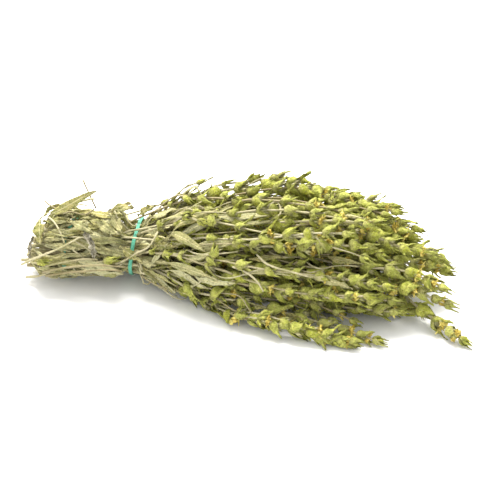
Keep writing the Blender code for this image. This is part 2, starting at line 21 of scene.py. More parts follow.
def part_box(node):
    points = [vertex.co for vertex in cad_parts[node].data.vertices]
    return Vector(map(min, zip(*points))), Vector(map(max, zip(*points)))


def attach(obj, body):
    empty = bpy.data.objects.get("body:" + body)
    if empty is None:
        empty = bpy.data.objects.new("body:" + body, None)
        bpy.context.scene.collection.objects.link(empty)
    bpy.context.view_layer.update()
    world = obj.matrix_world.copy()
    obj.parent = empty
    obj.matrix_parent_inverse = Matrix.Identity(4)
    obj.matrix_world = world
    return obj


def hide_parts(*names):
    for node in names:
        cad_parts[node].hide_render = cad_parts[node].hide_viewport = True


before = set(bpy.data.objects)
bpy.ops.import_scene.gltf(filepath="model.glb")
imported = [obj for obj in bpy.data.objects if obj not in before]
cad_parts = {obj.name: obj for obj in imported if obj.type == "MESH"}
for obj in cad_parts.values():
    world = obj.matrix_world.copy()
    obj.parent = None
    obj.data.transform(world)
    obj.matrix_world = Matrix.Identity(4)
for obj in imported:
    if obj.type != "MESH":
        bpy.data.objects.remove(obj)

log = logging.getLogger("dried_bunch")

Colour = tuple[float, float, float]
Place = tuple[float, float, float]
Pair = tuple[float, float]
Knots = tuple[tuple[int, int, int], ...]
Array = np.ndarray
Socket = bpy.types.NodeSocket


# The placement rule that the solids share


@dataclass(frozen=True)
class BunchForm:
    """The bunch's cross-section at stations along it, and how its stems are drawn."""

    seed: int = 62
    stems: int = 40
    inner_stems: int = 14
    station_x: tuple[float, ...] = (0.000, 0.035, 0.086, 0.130, 0.180, 0.230, 0.280, 0.335)
    side_at: tuple[float, ...] = (0.000, 0.004, 0.008, 0.009, 0.010, 0.010, 0.006, 0.000)
    half_width_at: tuple[float, ...] = (0.0255, 0.0250, 0.0245, 0.045, 0.062, 0.066, 0.069, 0.068)
    half_height_at: tuple[float, ...] = (0.0240, 0.0240, 0.0240, 0.032, 0.037, 0.039, 0.036, 0.028)
    longest_reach: float = 0.338
    shorter_at_rim: float = 0.060
    uneven_tips: float = 0.045
    cut_slant: float = 0.014
    fan_length: float = 0.120
    draw_in: float = 0.27
    draw_out_length: float = 0.050
    lower_at: tuple[float, ...] = (0.036, 0.086, 0.120, 0.190)
    lower_by: tuple[float, ...] = (0.0022, 0.0036, 0.0028, 0.0)
    golden_angle: float = math.pi * (3.0 - math.sqrt(5.0))
    strays: tuple[tuple[Place, Place], ...] = (
        ((0.280, -0.012, 0.022), (0.338, -0.056, 0.008)),
        ((0.270, -0.016, 0.032), (0.326, -0.028, 0.021)),
        ((0.262, 0.004, 0.044), (0.313, 0.007, 0.034)),
        ((0.250, 0.012, 0.056), (0.296, 0.015, 0.050)),
        ((0.222, 0.032, 0.070), (0.284, 0.022, 0.066)),
        ((0.225, -0.050, 0.014), (0.277, -0.061, 0.009)),
        ((0.180, 0.030, 0.067), (0.242, 0.038, 0.072)),
        ((0.200, -0.054, 0.016), (0.262, -0.066, 0.010)),
    )

    def side(self, x: Array) -> Array:
        """How far sideways the bunch's middle lies at x."""
        return np.interp(x, self.station_x, self.side_at)

    def half_width(self, x: Array) -> Array:
        """Half the bunch's width at x."""
        return np.interp(x, self.station_x, self.half_width_at)

    def half_height(self, x: Array) -> Array:
        """Half the bunch's height at x."""
        return np.interp(x, self.station_x, self.half_height_at)

    def axis(self, x: Array) -> Array:
        """The bunch's middle at each x."""
        return np.column_stack([x, self.side(x), self.half_height(x)])


@dataclass(frozen=True)
class StemSizes:
    """Sizes of one stem, its cups and its leaves."""

    stalk_radius: float = 0.0018
    tip_radius: float = 0.0010
    cup_radius: float = 0.0062
    cup_length: float = 0.0110
    inner_cups: tuple[int, int] = (6, 7)
    outer_cups: tuple[int, int] = (9, 10)
    first_cup_gap: float = 0.0100
    cup_gap_growth: float = 1.13
    most_cup_gap: float = 0.0200
    leaf_length: float = 0.036
    leaf_half_width: float = 0.0036
    leaf_rib: float = 0.0011
    blade_shape: tuple[Pair, ...] = ((0.0, 0.0), (0.30, 1.0), (0.68, 0.86), (1.0, 0.0))


@dataclass(frozen=True)
class BandSizes:
    """Sizes of the two elastic bands."""

    middle_x: float = 0.086
    end_x: float = 0.036
    inner_radius: float = 0.0238
    width: float = 0.0028
    thickness: float = 0.0012
    sections: int = 28

    @property
    def both(self) -> Pair:
        """Where the two bands go round the bunch."""
        return self.middle_x, self.end_x


@dataclass(frozen=True)
class LaidLeaves:
    """How the outer leaves of the solids are laid."""

    count: int = 37
    start: float = 0.004
    stop: float = 0.142
    near_angle: float = 208.0
    far_angle: float = -15.0
    heading: float = 26.0
    lengths: Pair = (0.032, 0.041)
    lift: float = 0.0014
    lifted: tuple[float, float, float, float] = (0.021, 100.0, -4.0, 0.034)
    lifted_rise: float = 0.013
    places_tried: int = 24
    roots_tried: int = 24
    before_band: float = 0.014
    blade_room: float = 0.0005


@dataclass(frozen=True)
class Room:
    """The room that neighbours keep, and how finely a strand is sampled."""

    clearance: float = 0.0003
    bead: float = 0.003
    bead_margin: float = 0.0003
    stalk_slack: float = 0.0007
    floor_sink: float = 0.0006
    near_band: float = 0.006
    over_band: float = 0.013


FORM = BunchForm()
STEM = StemSizes()
BAND = BandSizes()
LAID = LaidLeaves()
ROOM = Room()


@dataclass(eq=False)
class Strand:
    """A stem or a leaf as a row of beads: the room that it takes along its length."""

    stem: int
    radii: Array
    points: Array
    cups: list[Pair] = field(default_factory=list)
    anchor: int = 0
    half_width: float = 0.0
    out: Array | None = None
    first: int = 0
    lifted: bool = False
    look: "LeafLook | None" = None
    tone: float | None = None


def smooth_step(t: Array) -> Array:
    """0 to 1 with level ends."""
    t = np.clip(t, 0.0, 1.0)
    return t * t * (3.0 - 2.0 * t)


def norm(vectors: Array) -> Array:
    """How long each vector is."""
    return np.sqrt((vectors ** 2).sum(axis=-1))


def round_axes(angles: Array) -> tuple[Array, Array]:
    """The directions away from the bunch and round it at each angle."""
    level, across, up = np.zeros(len(angles)), np.cos(angles), np.sin(angles)
    return np.column_stack([level, across, up]), np.column_stack([level, -up, across])


def evened(values: Array) -> None:
    """Draws each value between the ends of a row halfway to its neighbours."""
    values[1:-1] = 0.25 * values[:-2] + 0.5 * values[1:-1] + 0.25 * values[2:]


def beaded(knots: Knots) -> Array:
    """Points one bead apart on the evened line through knots in tenths of a millimetre."""
    places = np.array(knots) / 10000.0
    run = np.concatenate([[0.0], np.cumsum(norm(np.diff(places, axis=0)))])
    s = np.arange(0.0, run[-1] + ROOM.bead / 2, ROOM.bead)
    points = np.column_stack([np.interp(s, run, places[:, k]) for k in range(3)])
    evened(points)
    return points


def section_point(x: Array, u: Array, w: Array) -> Array:
    """Carries points of the unit disc to the bunch's cross-section.

    Args:
        x: Distances along the bunch.
        u: Sideways places in the unit disc.
        w: Upward places in the unit disc.

    Returns:
        The points, one row each.
    """
    heap = smooth_step((x - BAND.middle_x) / FORM.fan_length)
    rise = 1.0 + (np.sqrt(np.clip(1.0 - u * u, 0.0, 1.0)) - 1.0) * heap
    side = FORM.side(x) + FORM.half_width(x) * u
    height = FORM.half_height(x) * (rise + w)
    return np.column_stack([x, side, height])


def stem_course(index: int, draw: random.Random) -> Array:
    """The course that a stem would take if it had the bunch to itself.

    Args:
        index: The stem's number in the spread across the bunch.
        draw: The stem's own seeded draws.

    Returns:
        Its points, one bead apart.
    """
    radius = math.sqrt((index + 0.5) / FORM.stems)
    angle = index * FORM.golden_angle
    start = draw.uniform(0.0, 0.010) + FORM.cut_slant * max(0.0, radius * math.sin(angle))
    end = FORM.longest_reach - FORM.shorter_at_rim * radius ** 2 - draw.uniform(0.0, FORM.uneven_tips)
    x = np.arange(start, end, ROOM.bead)
    turn = draw.uniform(-0.3, 0.3) * smooth_step((x - BAND.middle_x) / 0.2)
    reach = radius * draw.uniform(0.83, 0.92)
    sway = 0.045 * np.sin(draw.uniform(0.0, math.tau) + x * 28.0)
    u = reach * np.cos(angle + turn) + sway
    w = reach * np.sin(angle + turn) + sway
    return section_point(x, u, w)


def stray_course(course: Array, elbow: Place, tip: Place) -> Array:
    """A course bent to pass through an elbow and end at a tip."""
    elbow, tip = np.array(elbow), np.array(tip)
    x = np.arange(course[0, 0], tip[0], ROOM.bead)
    base = np.column_stack([np.interp(x, course[:, 0], course[:, k]) for k in range(3)])
    base[:, 0] = x
    line = elbow + np.outer((x - elbow[0]) / (tip[0] - elbow[0]), tip - elbow)
    share = smooth_step((x - BAND.middle_x) / (elbow[0] - BAND.middle_x))[:, None]
    return base + (line - base) * share


def miss_at(course: Array, point: Place) -> float:
    """How far, across the bunch, a course passes from a point."""
    return np.hypot(*(np.interp(point[0], course[:, 0], course[:, k]) - point[k] for k in (1, 2)))


def stem_courses() -> list[Array]:
    """Every stem's course, with the stray stems given to the nearest ones."""
    courses = [stem_course(k, random.Random(FORM.seed * 1000 + k)) for k in range(FORM.stems)]
    free = list(range(FORM.stems))
    for elbow, tip in FORM.strays:
        apart = [miss_at(courses[index], elbow) + miss_at(courses[index], tip) for index in free]
        nearest = free.pop(int(np.argmin(apart)))
        courses[nearest] = stray_course(courses[nearest], elbow, tip)
    return courses


def cup_places(length: float, few_many: tuple[int, int], draw: random.Random) -> list[Pair]:
    """The distance along the stem and the size of each cup, the bud at the tip last."""
    places = []
    gap = STEM.first_cup_gap * draw.uniform(0.9, 1.15)
    at = length - STEM.cup_length * 0.75
    for number in range(draw.randint(*few_many)):
        size = min(1.0, 0.62 + 0.11 * number) * draw.uniform(0.92, 1.05)
        places.append((at, size))
        at -= max(gap, STEM.cup_length * size * 0.95)
        gap = min(gap * STEM.cup_gap_growth, STEM.most_cup_gap) * draw.uniform(0.93, 1.08)
    return places[::-1]


def stem_radii(count: int, cups: list[Pair]) -> Array:
    """The bead radius at each point of a stem: its stalk's, or its cups' where it has them."""
    s = ROOM.bead * np.arange(count)
    radii = np.interp(s / s[-1], (0.0, 1.0), (STEM.stalk_radius, STEM.tip_radius))
    radii[s > cups[0][0]] += ROOM.stalk_slack
    for at, size in cups:
        reach = np.array((-0.10, 0.05, 0.30, 0.85, 1.05, 1.15)) * STEM.cup_length * size
        room = np.array((0.0, 0.45, 1.06, 1.10, 0.90, 0.0)) * STEM.cup_radius * size
        radii = np.maximum(radii, np.interp(s - at, reach, room, 0.0, 0.0))
    return radii


def leaf_radii(count: int, half_width: float) -> Array:
    """The bead radius along a leaf: narrow stalk, wide middle, pointed tip."""
    t = np.arange(count) / (count - 1)
    shape = np.sin(math.pi * np.clip(0.08 + 0.92 * t, 0.0, 1.0) ** 0.8)
    return STEM.leaf_rib / 2 + half_width * np.clip(shape, 0.0, 1.0)


def inner_leaf(stem: Strand, at: int, draw: random.Random) -> Strand:
    """A leaf that lies along its own stem, leaving it at bead number at."""
    root = stem.points[at]
    out_side = root[1] - FORM.side(root[0])
    out_up = root[2] - FORM.half_height(root[0])
    angle = math.atan2(out_up, out_side) + draw.uniform(-1.1, 1.1)
    away = np.array([0.0, math.cos(angle), math.sin(angle)])
    length = STEM.leaf_length * draw.uniform(0.8, 1.1)
    count = min(int(length / ROOM.bead) + 1, len(stem.points) - at)
    half_width = STEM.leaf_half_width * draw.uniform(0.85, 1.05)
    t = np.arange(count) / (count - 1)
    offset = 0.0036 * smooth_step(t * 3.0) + draw.uniform(0.0, 0.003) * smooth_step(t)
    points = stem.points[at : at + count] + offset[:, None] * away
    return Strand(stem.stem, leaf_radii(count, half_width), points, [], at, half_width)


def make_strands() -> tuple[list[Strand], list[Strand]]:
    """Every stem and inner leaf of the bunch, before they are eased apart."""
    stems, leaves = [], []
    for index, course in enumerate(stem_courses()):
        draw = random.Random(FORM.seed * 500 + index)
        outer = index >= FORM.inner_stems
        few_many = STEM.outer_cups if outer else STEM.inner_cups
        cups = cup_places(ROOM.bead * (len(course) - 1), few_many, draw)
        stem = Strand(index, stem_radii(len(course), cups), course, cups)
        stems.append(stem)
        bare = int(cups[0][0] / ROOM.bead)
        for share in (0.08, 0.62) if outer else (0.30,):
            at = int(bare * (share + draw.uniform(-0.05, 0.22)))
            leaves.append(inner_leaf(stem, at, draw))
    return stems, leaves


def drawn_in(places: Array) -> Array:
    """The places with the tied half drawn in towards its axis, so that the stems press on each other."""
    x = places[:, 0]
    tied = 1.0 - smooth_step((x - BAND.middle_x) / FORM.draw_out_length)
    return places + (FORM.axis(x) - places) * (tied * FORM.draw_in)[:, None]


def band_centre(band_x: float) -> Array:
    """The middle of a band, which stands on the floor on its own thickness."""
    up = BAND.inner_radius + BAND.thickness + ROOM.clearance
    return np.array([band_x, FORM.side(band_x), up - ROOM.floor_sink / 3])


class Bunch:
    """All the beads together, and the rule that eases them apart."""

    def __init__(self, stems: list[Strand], leaves: list[Strand]) -> None:
        """Lines up the beads of every strand."""
        self.stems, self.leaves, self.laid = stems, leaves, []
        first = 0
        for strand in stems + leaves:
            strand.first = first
            first += len(strand.radii)
        strands = stems + leaves
        self.goal = drawn_in(np.vstack([s.points for s in strands]))
        self.place = self.goal.copy()
        self.radius = np.concatenate([s.radii for s in strands])
        self.owner = np.concatenate([np.full(len(s.radii), s.stem) for s in strands])
        self.strand = np.concatenate([np.full(len(s.radii), k) for k, s in enumerate(strands)])
        self.is_leaf = self.strand >= len(stems)
        self.before, self.after = np.arange(first), np.arange(first)
        for strand in strands:
            index = np.arange(strand.first, strand.first + len(strand.radii))
            self.before[index[1:]] = index[:-1]
            self.after[index[:-1]] = index[1:]
        self.inner = (self.before != np.arange(first)) & (self.after != np.arange(first))
        self.near_root = np.zeros(first, bool)
        self.bare = np.zeros(first, bool)
        self.spread = np.zeros(first)
        for leaf in leaves:
            self.near_root[leaf.first : leaf.first + 3] = True
        for stem in stems:
            self.bare[stem.first : stem.first + int(stem.cups[0][0] / ROOM.bead)] = True

    def pairs(self, reach: float) -> tuple[Array, Array, Array]:
        """Finds bead pairs of different strands that lie close enough to matter.

        Args:
            reach: How much further than touching still counts.

        Returns:
            The two beads of each pair, and the gap that the pair keeps.
        """
        order = np.argsort(self.place[:, 0], kind="stable")
        place, radius = self.place[order], self.radius[order]
        found = []
        furthest = 2.0 * self.radius.max() + reach
        for step in range(1, len(order)):
            apart = place[step:] - place[:-step]
            if apart[:, 0].min() > furthest:
                break
            limit = radius[step:] + radius[:-step] + reach
            close = np.nonzero((apart ** 2).sum(axis=1) < limit ** 2)[0]
            found.append(np.column_stack([order[close], order[close + step]]))
        a, b = np.vstack(found).T
        kin = self.owner[a] == self.owner[b]
        rooted = kin & (self.near_root[a] | self.near_root[b])
        keep = (self.strand[a] != self.strand[b]) & ~rooted
        a, b, kin = a[keep], b[keep], kin[keep]
        stem_radius = np.where(self.is_leaf[a], self.radius[b], self.radius[a])
        own_stem = kin & (self.is_leaf[a] != self.is_leaf[b])
        gap = self.radius[a] + self.radius[b] + ROOM.clearance + ROOM.bead_margin
        return a, b, np.where(own_stem, stem_radius + 0.0020, gap)

    def push_apart(self, a: Array, b: Array, gap: Array) -> None:
        """Moves the two beads of each pair that is too close away from each other."""
        apart = self.place[b] - self.place[a]
        distance = np.maximum(norm(apart), 1e-6)
        short = np.maximum(gap - distance, 0.0)
        hit = short > 0.0
        shove = apart[hit] * (0.45 * short[hit] / distance[hit])[:, None]
        shove[:, 0] *= 0.3
        count = len(self.place)
        touches = np.bincount(a[hit], minlength=count) + np.bincount(b[hit], minlength=count)
        crowd = np.maximum(np.sqrt(touches), 1.0)
        for axis in range(3):
            push = np.bincount(b[hit], shove[:, axis], count) - np.bincount(a[hit], shove[:, axis], count)
            self.place[:, axis] += push / crowd

    def hold(self) -> None:
        """Keeps the beads inside both bands and above the floor."""
        for band_x in BAND.both:
            near = np.abs(self.place[:, 0] - band_x) < ROOM.near_band
            out = self.place[near] - band_centre(band_x)
            out[:, 0] = 0.0
            reach = np.maximum(norm(out), 1e-6)
            over = np.maximum(reach + self.radius[near] - BAND.inner_radius, 0.0)
            self.place[near] -= out * (over / reach)[:, None]
        self.place[:, 2] = np.maximum(self.place[:, 2], self.radius - ROOM.floor_sink)

    def ease(self, rounds: int, pull: float, sag: float, bend: float) -> None:
        """Eases the strands apart.

        Args:
            rounds: How often.
            pull: Share of the way back to each bead's own course.
            sag: How far a free bead sinks each round.
            bend: Share of the way to the middle of a bead's neighbours.
        """
        free = smooth_step((self.goal[:, 0] - BAND.middle_x) / FORM.fan_length)
        for turn in range(rounds):
            if turn % 12 == 0:
                a, b, gap = self.pairs(0.002)
            self.place += pull * (self.goal - self.place)
            self.place[:, 2] -= sag * free
            for _ in range(2):
                middle = 0.5 * (self.place[self.before] + self.place[self.after])
                self.place[self.inner] += bend * (middle - self.place)[self.inner]
            for leaf in self.leaves:
                self.place[leaf.first] = self.place[self.stems[leaf.stem].first + leaf.anchor]
            self.push_apart(a, b, gap)
            self.hold()
            self.place = np.round(self.place, 7)

    def settle(self) -> None:
        """Eases the strands apart and gives each one its points."""
        self.ease(200, 0.010, 0.00005, 0.25)
        self.ease(160, 0.003, 0.00002, 0.12)
        self.ease(120, 0.0, 0.0, 0.04)
        self.ease(200, 0.0, 0.0, 0.0)
        self.place[:, 2] -= np.interp(self.place[:, 0], FORM.lower_at, FORM.lower_by)
        self.place[:, 2] = np.maximum(self.place[:, 2], self.radius - ROOM.floor_sink)
        for strand in self.stems + self.leaves:
            strand.points = self.place[strand.first : strand.first + len(strand.radii)]

    def clear_root(self, wanted: Array, onward: Array) -> int:
        """The bare stalk bead near a wanted place that has the clearest way out to the point onward."""
        distance = norm(self.place - wanted) + np.abs(self.place[:, 0] - wanted[0])
        distance[~self.bare] = 1.0
        best, best_score = 0, -1.0
        for root in np.argsort(distance, kind="stable")[: LAID.roots_tried]:
            others = self.owner != self.owner[root]
            way = self.place[root] + np.outer(np.linspace(0.2, 0.9, 8), onward - self.place[root])
            room = (norm(way[:, None] - self.place[None, others]) - self.radius[others]).min()
            score = min(room, 0.0015) - 0.1 * distance[root]
            if score > best_score:
                best, best_score = int(root), score
        return best

    def nearest_root(self, wanted: Array) -> int:
        """The bare stalk bead nearest to a wanted place."""
        distance = norm(self.place - wanted)
        distance[~self.bare] = 1.0
        return int(np.argmin(distance))

    def reach_over(self, axis: Array, out: Array, around: Array, half_width: float) -> Array:
        """How far from the axis a leaf has to lie to clear all that is under it.

        Args:
            axis: The bunch's middle at each of the leaf's beads.
            out: The direction away from it.
            around: The direction round it.
            half_width: The leaf's half-width.

        Returns:
            The distance from the axis at each bead.
        """
        needed = np.zeros(len(axis))
        spread = half_width + self.spread
        for k in range(len(axis)):
            near = np.abs(self.place[:, 0] - axis[k, 0]) < self.radius + ROOM.bead
            apart = self.place[near] - axis[k]
            gap_along = np.maximum(np.abs(apart[:, 0]) - ROOM.bead / 2, 0.0)
            gap_across = np.maximum(np.abs(apart @ around[k]) - spread[near], 0.0)
            room = (self.radius[near] + ROOM.clearance) ** 2 - gap_along ** 2 - gap_across ** 2
            over = np.where(room > 0.0, apart @ out[k] + np.sqrt(np.maximum(room, 0.0)), 0.0)
            needed[k] = over.max(initial=0.0)
        return needed

    def leaf_axes(self, x: float, angle: float, heading: float, count: int) -> tuple[Array, ...]:
        """The middle of the bunch, and the directions away from and round it, along a laid leaf.

        Args:
            x: Where the leaf starts along the bunch.
            angle: Where it starts round the bunch, in degrees, with 90 on top.
            heading: How far it turns away from the bunch's length, in degrees.
            count: Its number of beads.

        Returns:
            The three rows of vectors.
        """
        s = ROOM.bead * np.arange(count)
        at_x = x + s * math.cos(math.radians(heading))
        axis = FORM.axis(at_x)
        around = math.radians(angle) + s * math.sin(math.radians(heading)) / axis[:, 2]
        return axis, *round_axes(around)

    def laid_leaf(self, x: float, angle: float, heading: float, length: float, rise: float) -> Strand:
        """One leaf of the solids, laid over whatever is already at that place on the outside."""
        half_width = STEM.leaf_half_width * 1.08
        count = int(length / ROOM.bead) + 1
        axis, out, tangent = self.leaf_axes(x, angle, heading, count)
        needed = self.reach_over(axis, out, tangent, half_width)
        for band_x in BAND.both:
            over_band = np.abs(axis[:, 0] - band_x) < ROOM.over_band
            floor = BAND.inner_radius + BAND.thickness + 2 * ROOM.clearance
            needed[over_band] = np.maximum(needed[over_band], floor)
        needed += LAID.lift
        reach = needed + rise * smooth_step(ROOM.bead * np.arange(count) / length)
        for _ in range(60):
            middle = 0.5 * (reach[:-2] + reach[2:])
            reach[1:-1] = np.maximum(needed[1:-1], middle)
        points = axis + out * reach[:, None]
        root = self.clear_root(points[0], points[2])
        owner = int(self.owner[root])
        points[0] = self.place[root]
        points[1] = 0.5 * (points[0] + points[2])
        anchor = root - self.stems[owner].first
        return Strand(owner, leaf_radii(count, half_width), points, [], anchor, half_width, out)

    def keep(self, leaf: Strand, lift: float = LAID.lift) -> None:
        """Adds a laid leaf, so that later ones lie over it."""
        count = len(leaf.radii)
        self.laid.append(leaf)
        self.place = np.vstack([self.place, leaf.points])
        self.radius = np.concatenate([self.radius, np.full(count, lift)])
        self.spread = np.concatenate([self.spread, np.full(count, leaf.half_width)])
        self.owner = np.concatenate([self.owner, np.full(count, leaf.stem)])
        self.bare = np.concatenate([self.bare, np.full(count, False)])


def along(points: Array, s: Array) -> Array:
    """The point at each distance s along a strand."""
    run = ROOM.bead * np.arange(len(points))
    s = np.asarray(s, float)
    place = np.column_stack([np.interp(s, run, points[:, k]) for k in range(3)])
    last = points[-1] - points[-2]
    beyond = np.maximum(s - run[-1], 0.0)[:, None] / ROOM.bead
    return place + last * beyond


def headings(points: Array, s: Array, span: float) -> Array:
    """The unit direction of a strand at each distance s, over a stretch of that span."""
    s = np.asarray(s, float)
    found = along(points, s + span) - along(points, np.maximum(s - span, 0.0))
    return found / norm(found)[:, None]


def cross_axes(heading: Array, roll: float) -> tuple[Array, Array]:
    """Two unit vectors across the heading, turned by the roll angle."""
    side = np.cross((0.0, 0.0, 1.0), heading)
    side /= np.linalg.norm(side)
    top = np.cross(heading, side)
    first = math.cos(roll) * side + math.sin(roll) * top
    return first, math.cos(roll) * top - math.sin(roll) * side


def stem_roll(stem: int) -> float:
    """How far a stem is turned about its own length."""
    return random.Random(FORM.seed * 77 + stem).uniform(0.0, math.pi)


def square_ring(
    place: Array, heading: Array, roll: float, beak: Pair, flank: Pair
) -> list[Array]:
    """Four corners round a stalk; beak and flank are (radius, forward) of the two opposite pairs."""
    first, second = cross_axes(heading, roll)
    return [
        place + first * beak[0] + heading * beak[1],
        place + second * flank[0] + heading * flank[1],
        place - first * beak[0] + heading * beak[1],
        place - second * flank[0] + heading * flank[1],
    ]


def stem_rings(stem: Strand, stations: Array) -> list[list[Array]]:
    """The square rings of a stem's solid: its bare stalk, then its cups."""
    roll = stem_roll(stem.stem)
    length = ROOM.bead * (len(stem.radii) - 1)
    rings = []
    for s in stations:
        radius = np.interp(s / length, (0.0, 1.0), (STEM.stalk_radius, STEM.tip_radius))
        (place,), (heading,) = along(stem.points, [s]), headings(stem.points, [s], 0.004)
        rings.append(square_ring(place, heading, roll, (radius, 0.0), (radius, 0.0)))
    for number, (at, size) in enumerate(stem.cups):
        wide, deep = STEM.cup_radius * size, STEM.cup_length * size
        stalk = np.interp(at / length, (0.0, 1.0), (STEM.stalk_radius, STEM.tip_radius))
        (place,) = along(stem.points, [at])
        (heading,) = headings(stem.points, [at + deep / 2], deep / 2)
        turned = [
            ((stalk, 0.0), (stalk, 0.0)),
            ((wide * 0.86, deep * 0.22), (wide * 0.90, deep * 0.30)),
            ((wide * 1.04, deep * 0.98), (wide * 0.96, deep * 0.62)),
            ((stalk * 1.6, deep * 0.60), (stalk * 1.6, deep * 0.60)),
        ]
        for beak, flank in turned:
            if number % 2:
                beak, flank = flank, beak
            rings.append(square_ring(place, heading, roll, beak, flank))
    return rings


def skin(rings: list[list[Array]]) -> bmesh.types.BMesh:
    """Faces between rings of equal count, with end caps."""
    bm = bmesh.new()
    made = [[bm.verts.new(p) for p in ring] for ring in rings]
    count = len(rings[0])
    for low, high in zip(made, made[1:]):
        for k in range(count):
            n = (k + 1) % count
            bm.faces.new((low[k], low[n], high[n], high[k]))
    bm.faces.new(made[0][::-1])
    bm.faces.new(made[-1])
    bmesh.ops.triangulate(bm, faces=bm.faces[:])
    bmesh.ops.recalc_face_normals(bm, faces=bm.faces[:])
    return bm


def leaf_blade(leaf: Strand, stem: Strand, room: float = 0.0) -> bmesh.types.BMesh:
    """The plain blade that a leaf has in the solids."""
    count = len(leaf.radii)
    stations = [ROOM.bead * (count - 1) * share for share, _ in STEM.blade_shape]
    places, directions = along(leaf.points, stations), headings(leaf.points, stations, 0.003)
    if leaf.out is None:
        away = (leaf.points - stem.points[leaf.anchor : leaf.anchor + count])[2:].mean(axis=0)
        sides = [away] * len(stations)
    else:
        sides = along(leaf.out, stations)
    bm = bmesh.new()
    rows = []
    for place, heading, side, (_, width) in zip(places, directions, sides, STEM.blade_shape):
        out = side - heading * side.dot(heading)
        out /= np.linalg.norm(out)
        across = np.cross(heading, out) * (leaf.half_width + room) * width
        droop = out * leaf.half_width * width * 0.28
        if width == 0.0:
            rows.append([bm.verts.new(place)] * 4)
            continue
        corners = (
            place + across - droop,
            place + out * (STEM.leaf_rib * 0.6 + room),
            place - across - droop,
            place - out * (STEM.leaf_rib * 0.4 + room),
        )
        rows.append([bm.verts.new(p) for p in corners])
    for low, high in zip(rows, rows[1:]):
        for k in range(4):
            n = (k + 1) % 4
            corners = list(dict.fromkeys((low[k], low[n], high[n], high[k])))
            if len(corners) > 2:
                bm.faces.new(corners)
    bmesh.ops.triangulate(bm, faces=bm.faces[:], quad_method="SHORT_EDGE")
    bmesh.ops.recalc_face_normals(bm, faces=bm.faces[:])
    return bm


def crossing_points(meshes: list[bmesh.types.BMesh], band_x: float) -> Array:
    """Where the edges of the meshes inside a band pass the planes of its two rims."""
    found = []
    for bm in meshes:
        ends = np.array([[vertex.co for vertex in edge.verts] for edge in bm.edges])
        for rim in (band_x - BAND.width / 2 - ROOM.clearance, band_x + BAND.width / 2 + ROOM.clearance):
            run = ends[:, 1, 0] - ends[:, 0, 0]
            share = (rim - ends[:, 0, 0]) / np.where(run == 0.0, 1.0, run)
            crosses = (share > 0.0) & (share < 1.0)
            low, high = ends[crosses, 0], ends[crosses, 1]
            found.append(low + (high - low) * share[crosses, None])
    points = np.vstack(found)
    centre = band_centre(band_x)
    centre[2] -= np.interp(band_x, FORM.lower_at, FORM.lower_by)
    reach = np.hypot(*(points - centre)[:, 1:].T)
    return points[reach < BAND.inner_radius + BAND.thickness / 2]


@dataclass(frozen=True)
class BandPath:
    """The inner side of a band at even angles, and the direction away from the bunch there."""

    x: float
    inner: Array
    out: Array

    def tree(self) -> BVHTree:
        """The band's own solid, for the test that keeps leaves off it."""
        half = np.array([BAND.width / 2, 0.0, 0.0])
        rows = []
        for inner, outward in zip(self.inner, self.out * BAND.thickness):
            rows.append([inner - half, inner + half, inner + half + outward, inner - half + outward])
        points = np.array(rows).reshape(-1, 3)
        count, faces = len(rows), []
        for k in range(count):
            n = (k + 1) % count
            for side in range(4):
                up = (side + 1) % 4
                faces.append((4 * k + side, 4 * k + up, 4 * n + up, 4 * n + side))
        return BVHTree.FromPolygons(points.tolist(), faces)


def band_path(inside: list[bmesh.types.BMesh], band_x: float) -> BandPath:
    """The path of a flat elastic band stretched round every mesh that crosses its plane."""
    angles = math.tau * np.arange(BAND.sections) / BAND.sections
    out, turned = round_axes(angles)
    support = (crossing_points(inside, band_x) @ out.T).max(axis=0) + 2 * ROOM.clearance
    slope = (np.roll(support, -1) - np.roll(support, 1)) / (2 * math.tau / BAND.sections)
    path = out * support[:, None] + turned * slope[:, None]
    path[:, 0] = band_x
    return BandPath(band_x, path, out)


def lay_leaves(bunch: Bunch) -> list[BandPath]:
    """Lays the outer leaves where the solids have them.

    Args:
        bunch: The settled bunch, which gets the leaves.

    Returns:
        The paths of the two bands, which go under the leaves.
    """
    stalks, blades = [], []
    for stem in bunch.stems:
        stations = np.arange(0.0, stem.cups[0][0], ROOM.bead)
        stalks.append((stem.stem, skin(stem_rings(stem, stations))))
    for leaf in bunch.leaves:
        blades.append((leaf.stem, leaf_blade(leaf, bunch.stems[leaf.stem])))
    inside = [bm for _, bm in stalks + blades]
    bands = [band_path(inside, band_x) for band_x in BAND.both]
    trees = [(owner, BVHTree.FromBMesh(bm)) for owner, bm in stalks + blades]
    trees += [(-1, band.tree()) for band in bands]
    for bm in inside:
        bm.free()
    draw = random.Random(FORM.seed * 31)
    for number in range(LAID.count):
        for _ in range(LAID.places_tried):
            if number == 0:
                x, angle, heading, length = LAID.lifted
                x, angle = x + draw.uniform(-0.003, 0.003), angle + draw.uniform(-9.0, 9.0)
                rise = LAID.lifted_rise
            else:
                share = (number * 0.6180 + draw.uniform(0.0, 0.16)) % 1.0
                x = LAID.start + (LAID.stop - LAID.start) * share
                for band_x in (BAND.end_x, BAND.middle_x):
                    if 0.0 < band_x - x < LAID.before_band:
                        x -= LAID.before_band
                round_share = (number * 0.7549 + draw.uniform(0.0, 0.12)) % 1.0
                angle = LAID.near_angle + (LAID.far_angle - LAID.near_angle) * round_share ** 1.3
                heading = draw.uniform(-LAID.heading, LAID.heading)
                length, rise = draw.uniform(*LAID.lengths), 0.0
            leaf = bunch.laid_leaf(x, angle, heading, length, rise)
            leaf.lifted = number == 0
            blade = leaf_blade(leaf, bunch.stems[leaf.stem], LAID.blade_room)
            tree = BVHTree.FromBMesh(blade)
            blade.free()
            if not any(owner != leaf.stem and tree.overlap(other) for owner, other in trees):
                bunch.keep(leaf)
                trees.append((leaf.stem, tree))
                break
    return bands


# The finishes


